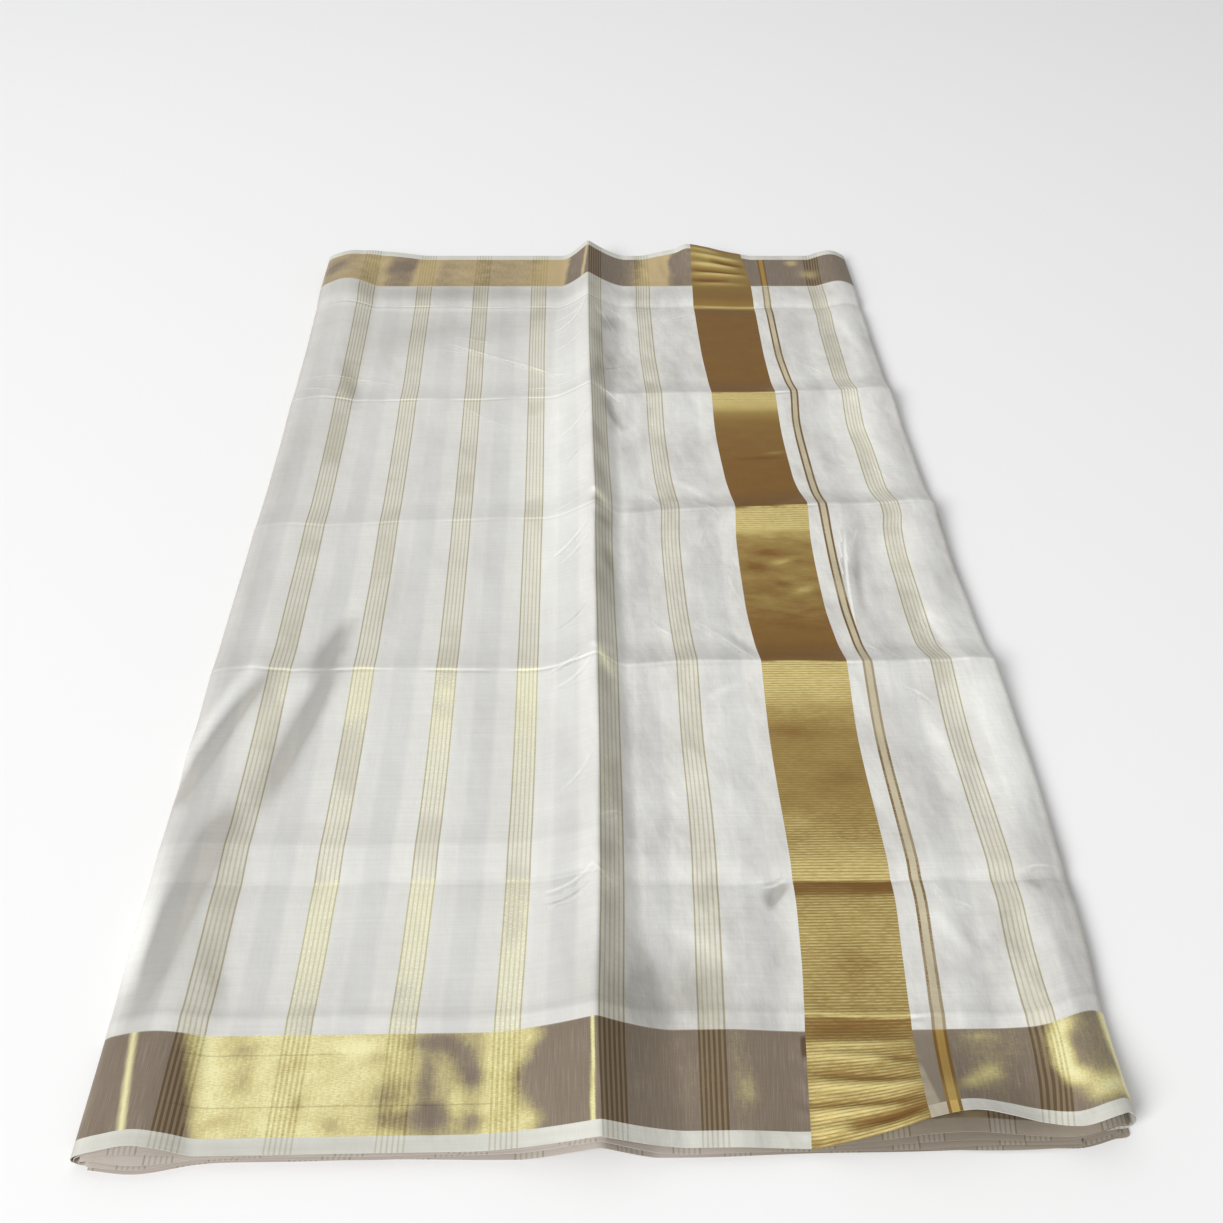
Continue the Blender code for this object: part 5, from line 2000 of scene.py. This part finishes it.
@dataclass
class TopLayer:
    """The top layer, one grid cut into its woven zones and stretches."""

    form: FoldedForm
    maker: Maker
    column_steps: tuple[float, ...] = (0.0030, 0.0027, 0.0022, 0.0027)
    column_gain: float = 2.4
    column_crowd: float = 0.004
    row_steps: tuple[float, ...] = (0.0018, 0.0022, 0.0030, 0.0022, 0.0018)
    row_gain: float = 1.1
    row_crowd: float = 0.005
    turn_steps: int = 12
    tail: float = 0.030
    tail_steps: int = 6
    tail_layer: int = 4
    tail_inset: float = 0.5
    sides: tuple[str, ...] = ("left", "middle", "band", "right")
    zones: tuple[tuple[str, Zone], ...] = (
        ("near_selvedge", Zone.SELVEDGE), ("near_border", Zone.BORDER), ("field", Zone.FIELD),
        ("far_border", Zone.BORDER), ("far_selvedge", Zone.SELVEDGE))

    def __post_init__(self) -> None:
        """Prepare the sheen."""
        self.sheen = Sheen(self.form)

    def places(self, ends: Sequence[float], steps: Sequence[float], folds: Sequence[float],
               gain: float, width: float) -> tuple[Array, list[int]]:
        """Places along one direction of the grid, with one on each boundary of a zone.

        Args:
            ends: the boundaries.
            steps: distance between places in each zone.
            folds: where the places crowd.
            gain: how much closer they lie there.
            width: how far the crowding reaches.

        Returns:
            The places, and the number of each boundary among them.
        """
        parts, marks = [np.array(ends[:1])], [0]
        for start, end, step in zip(ends[:-1], ends[1:], steps):
            parts.append(graded(start, end, step, folds, gain, width)[1:])
            marks.append(marks[-1] + len(parts[-1]))
        return np.concatenate(parts), marks

    def whole(self, u: Array, v: Array) -> Cloth:
        """The layer's grid: the flat top, the turn at each fold and a tail under the right one.

        Args:
            u: places of the flat top's columns.
            v: places of the rows.

        Returns:
            The cloth, its turns' columns before and after those of the flat top.
        """
        sizes, form = self.form.sizes, self.form
        flat = form.top(u, sizes.near + v)
        left = nose(flat[:, 0], flat[:, 0] * (1, 1, 0), (end_slope(flat, 0, 1), np.zeros(len(v))),
                    -sizes.left_turn, self.turn_steps)
        tail_u = np.linspace(sizes.flat_right, sizes.flat_right - self.tail, self.tail_steps + 1)
        tail = form.layer(self.tail_layer, tail_u, v)
        edge = flat[:, -1:, 1]
        tail[:, :, 1] = edge + (tail[:, :, 1] - edge) * self.tail_inset
        right = nose(flat[:, -1], tail[:, 0], (end_slope(flat, -1, -1), end_slope(tail, 0, 1)),
                     sizes.right_turn, self.turn_steps)
        points = np.concatenate([left[:, ::-1], flat, right, tail[:, 1:]], axis=1)
        length = path_length(points)
        first, last = self.turn_steps, self.turn_steps + len(u) - 1
        return Cloth(points, np.concatenate([u[0] + length[:first] - length[first], u,
                                             u[-1] + length[last + 1:] - length[last]]), v)

    def build(self) -> None:
        """Make the grid and cut it into pieces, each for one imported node."""
        sizes = self.form.sizes
        width = sizes.width
        u, columns = self.places(
            (sizes.flat_left, sizes.u_centre, sizes.u_band_start, sizes.u_band_end, sizes.flat_right),
            self.column_steps, (sizes.u_centre,), self.column_gain, self.column_crowd)
        v, rows = self.places(
            (0.0, sizes.selvedge, sizes.hem, width - sizes.hem, width - sizes.selvedge, width),
            self.row_steps, [row.y_left * MM - sizes.near for row in CREASES], self.row_gain,
            self.row_crowd)
        cloth = self.whole(u, v)
        cuts = [mark + self.turn_steps for mark in columns]
        cuts[0], cuts[-1] = 0, len(cloth.u) - 1
        for side, start, end in zip(self.sides, cuts, cuts[1:]):
            cut = slice(start, end + 1)
            if side == "band":
                self.add(cloth, "pallu_band", Zone.BAND, slice(None), cut)
                continue
            for (name, zone), low, high in zip(self.zones, rows, rows[1:]):
                self.add(cloth, f"{name}_{side}", zone, slice(low, high + 1), cut)

    def add(self, cloth: Cloth, node: str, zone: Zone, rows: slice, columns: slice) -> None:
        """Cut one piece from the grid and dress it.

        Args:
            cloth: the layer's grid.
            node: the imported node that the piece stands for.
            zone: its woven zone.
            rows, columns: its part of the grid.
        """
        x = cloth.points[rows, columns, 0]
        y = np.repeat(self.form.sizes.near + cloth.v[rows, None], x.shape[1], axis=1)
        piece = cloth.piece(f"{node}_cloth", rows, columns, self.sheen.marks(zone, x, y))
        self.maker.finish(piece, zone, (node,), cloth.flat(rows, columns), ("hidden_stack",))


@dataclass(frozen=True)
class Run:
    """A stretch of one hidden layer between two places, and how far the turn after it stands out."""

    layer: int
    start: float
    end: float
    turn: float = 0.0


@dataclass(frozen=True)
class Route:
    """How a length of cloth runs through the stack, and the place along the cloth where it starts."""

    u_start: float
    runs: tuple[Run, ...]


@dataclass
class HiddenLayers:
    """The seven layers under the top one, where they show at the edges and folds."""

    form: FoldedForm
    maker: Maker
    step: float = 0.004
    fewest_steps: int = 4
    turn_steps: int = 8
    edge_rows: tuple[float, ...] = (0.0, 0.0015, 0.004, 0.008, 0.014, 0.022, 0.034, 0.050, 0.068, 0.086)
    between_rows: int = 52
    bottom: Route = Route(-0.42, (Run(8, -0.333, 0.3350, 0.0085), Run(7, 0.3350, 0.300)))
    inner: Route = Route(-3.4, (Run(7, 0.300, -0.3325, -0.0088), Run(2, -0.3325, 0.334, 0.0062),
                                Run(3, 0.334, -0.3305, -0.0066), Run(6, -0.3305, 0.338)))
    middle: Route = Route(0.39, (Run(4, 0.307, -0.3285, -0.0040), Run(5, -0.3285, 0.335)))
    inner_end: Route = Route(1.70, (Run(5, 0.300, 0.336),))
    outer_end: Route = Route(4.20, (Run(6, 0.300, 0.339),))
    near_nodes: tuple[str, ...] = ("second_layer_left", "second_layer_right", "third_layer_right")
    stack_edge: float = 0.080
    stack_inset: Pair = (0.004, 0.010)
    stack_steps: tuple[int, int] = (120, 150)
    stack_below: float = 0.0016
    stack_above: float = 0.0012

    def cloth(self, route: Route, v: Array) -> Cloth:
        """Cloth along a route, with a rounded turn after each run but the last.

        Args:
            route: the route.
            v: distance of each row from the near edge.

        Returns:
            One grid of cloth.
        """
        grids = []
        for run in route.runs:
            count = max(self.fewest_steps, round(abs(run.end - run.start) / self.step))
            grids.append(self.form.layer(run.layer, np.linspace(run.start, run.end, count + 1), v))
        blocks = [grids[0]]
        for run, before, after in zip(route.runs, grids, grids[1:]):
            slopes = end_slope(before, -1, -1), end_slope(after, 0, 1)
            blocks.append(nose(before[:, -1], after[:, 0], slopes, run.turn, self.turn_steps))
            blocks.append(after[:, 1:])
        points = np.concatenate(blocks, axis=1)
        return Cloth(points, route.u_start + path_length(points), v)

    def add(self, name: str, route: Route, v: Array, nodes: Sequence[str] = (),
            rests_on: Sequence[str] = ("bottom_layer_cloth",)) -> None:
        """Make one piece along a route and dress it."""
        cloth = self.cloth(route, v)
        self.maker.finish(cloth.piece(name), Zone.LOWER, nodes, cloth.flat(), rests_on)

    def build(self) -> None:
        """Make the bottom layer, the loose ends, the edges of the layers between, and the stack."""
        near = np.array(self.edge_rows)
        far = self.form.sizes.width - near[::-1]
        whole = np.concatenate([near, np.linspace(near[-1], far[0], self.between_rows)[1:-1], far])
        between = whole[len(near) - 1:1 - len(far)]
        self.add("bottom_layer_cloth", self.bottom, whole, ("folded_core",), ())
        self.add("inner_end_cloth", self.inner_end, between)
        self.add("outer_end_cloth", self.outer_end, between)
        for side, v, nodes in (("near", near, self.near_nodes), ("far", far, ())):
            self.add(f"inner_layers_{side}_cloth", self.inner, v, nodes)
            self.add(f"middle_layers_{side}_cloth", self.middle, v)
        self.stack()

    def stack(self) -> None:
        """Make the solid of hidden layers, just under the top layer and just above the bottom one."""
        sizes = self.form.sizes
        left, right = self.stack_inset
        columns, rows = self.stack_steps
        u = np.linspace(sizes.flat_left + left, sizes.flat_right - right, columns)
        v = np.linspace(self.stack_edge, sizes.width - self.stack_edge, rows)
        top = Cloth(self.form.top(u, sizes.near + v) - (0, 0, self.stack_below), u, v)
        floor = self.form.layer(BOTTOM, u, v) + (0, 0, self.stack_above)
        piece = closed_shell("hidden_stack", top.points, floor, top.normals, places_uv(u, v))
        self.maker.finish(piece, Zone.LOWER, ("folded_core",))


@dataclass(frozen=True)
class Lamp:
    """A square soft light that faces the middle of the cloth: metres and watts."""

    name: str
    place: tuple[float, float, float]
    size: float
    power: float

    def build(self) -> None:
        """Make the light, turned towards the origin."""
        data = bpy.data.lights.new(self.name, "AREA")
        data.shape, data.size, data.energy = "SQUARE", self.size, self.power
        item = bpy.data.objects.new(self.name, data)
        item.location = self.place
        item.rotation_euler = Vector(self.place).to_track_quat("Z", "Y").to_euler()
        bpy.context.scene.collection.objects.link(item)


@dataclass(frozen=True)
class Studio:
    """A plain pale floor, soft light and the photograph's camera: metres, degrees, lens in mm."""

    location: tuple[float, float, float] = (-0.0197, -0.8995, 0.7997)
    pitch: float = 44.211
    yaw: float = -1.839
    roll: float = -0.899
    lens: float = 36.06
    sensor: float = 36.0
    clip: Pair = (0.01, 100.0)
    floor_size: float = 14.0
    floor_colour: tuple[float, ...] = (0.90, 0.90, 0.90, 1.0)
    floor_roughness: float = 0.9
    floor_specular: float = 0.1
    sky_colour: tuple[float, ...] = (1.0, 1.0, 1.0, 1.0)
    sky_strength: float = 0.40
    lamps: tuple[Lamp, ...] = (Lamp("key_light", (-5.0, -5.0, 5.0), 4.0, 690),
                               Lamp("top_light", (-0.6, 1.2, 3.2), 3.0, 16))

    def camera(self) -> None:
        """Place the camera: pitched down, turned a little and rolled a little."""
        pitch, yaw, roll = (math.radians(a) for a in (self.pitch, self.yaw, self.roll))
        side = Vector((math.cos(yaw), math.sin(yaw), 0))
        ahead = Vector((-math.sin(yaw), math.cos(yaw), 0))
        forward = ahead * math.cos(pitch) - Vector((0, 0, math.sin(pitch)))
        down = -ahead * math.sin(pitch) - Vector((0, 0, math.cos(pitch)))
        right = side * math.cos(roll) + down * math.sin(roll)
        up = side * math.sin(roll) - down * math.cos(roll)
        data = bpy.data.cameras.new("photo_camera")
        data.lens, data.sensor_width, data.sensor_fit = self.lens, self.sensor, "HORIZONTAL"
        data.clip_start, data.clip_end = self.clip
        item = bpy.data.objects.new("photo_camera", data)
        turn = Matrix((right, up, -forward)).transposed().to_4x4()
        item.matrix_world = Matrix.Translation(self.location) @ turn
        bpy.context.scene.collection.objects.link(item)
        bpy.context.scene.camera = item

    def floor(self) -> None:
        """A wide plain plane just under the cloth."""
        half = self.floor_size / 2
        corners = [(-half, -half, 0), (half, -half, 0), (half, half, 0), (-half, half, 0)]
        mesh = bpy.data.meshes.new("studio_floor")
        mesh.from_pydata(corners, [], [(0, 1, 2, 3)])
        graph = Graph("studio_floor")
        graph.feed("Base Color", self.floor_colour)
        graph.feed("Roughness", self.floor_roughness)
        graph.feed("Specular IOR Level", self.floor_specular)
        mesh.materials.append(graph.material)
        item = bpy.data.objects.new("studio_floor", mesh)
        bpy.context.scene.collection.objects.link(item)

    def sky(self) -> None:
        """Light the whole scene evenly, and show colours as they are."""
        world = bpy.data.worlds.new("studio_world")
        world.use_nodes = True
        background = world.node_tree.nodes["Background"]
        background.inputs["Color"].default_value = self.sky_colour
        background.inputs["Strength"].default_value = self.sky_strength
        scene = bpy.context.scene
        scene.world = world
        scene.view_settings.view_transform = "Standard"
        scene.view_settings.look = "None"

    def build(self) -> None:
        """Make the camera, floor, lights and sky."""
        self.camera()
        self.floor()
        for lamp in self.lamps:
            lamp.build()
        self.sky()


def main() -> None:
    """Build the studio and every stretch of the saree."""
    logging.basicConfig(level=logging.INFO, format="%(name)s: %(message)s")
    Studio().build()
    form = FoldedForm(SIZES)
    maker = Maker()
    TopLayer(form, maker).build()
    HiddenLayers(form, maker).build()
    LOG.info("%d pieces", len(maker.made))


if __name__ == "__main__":
    main()
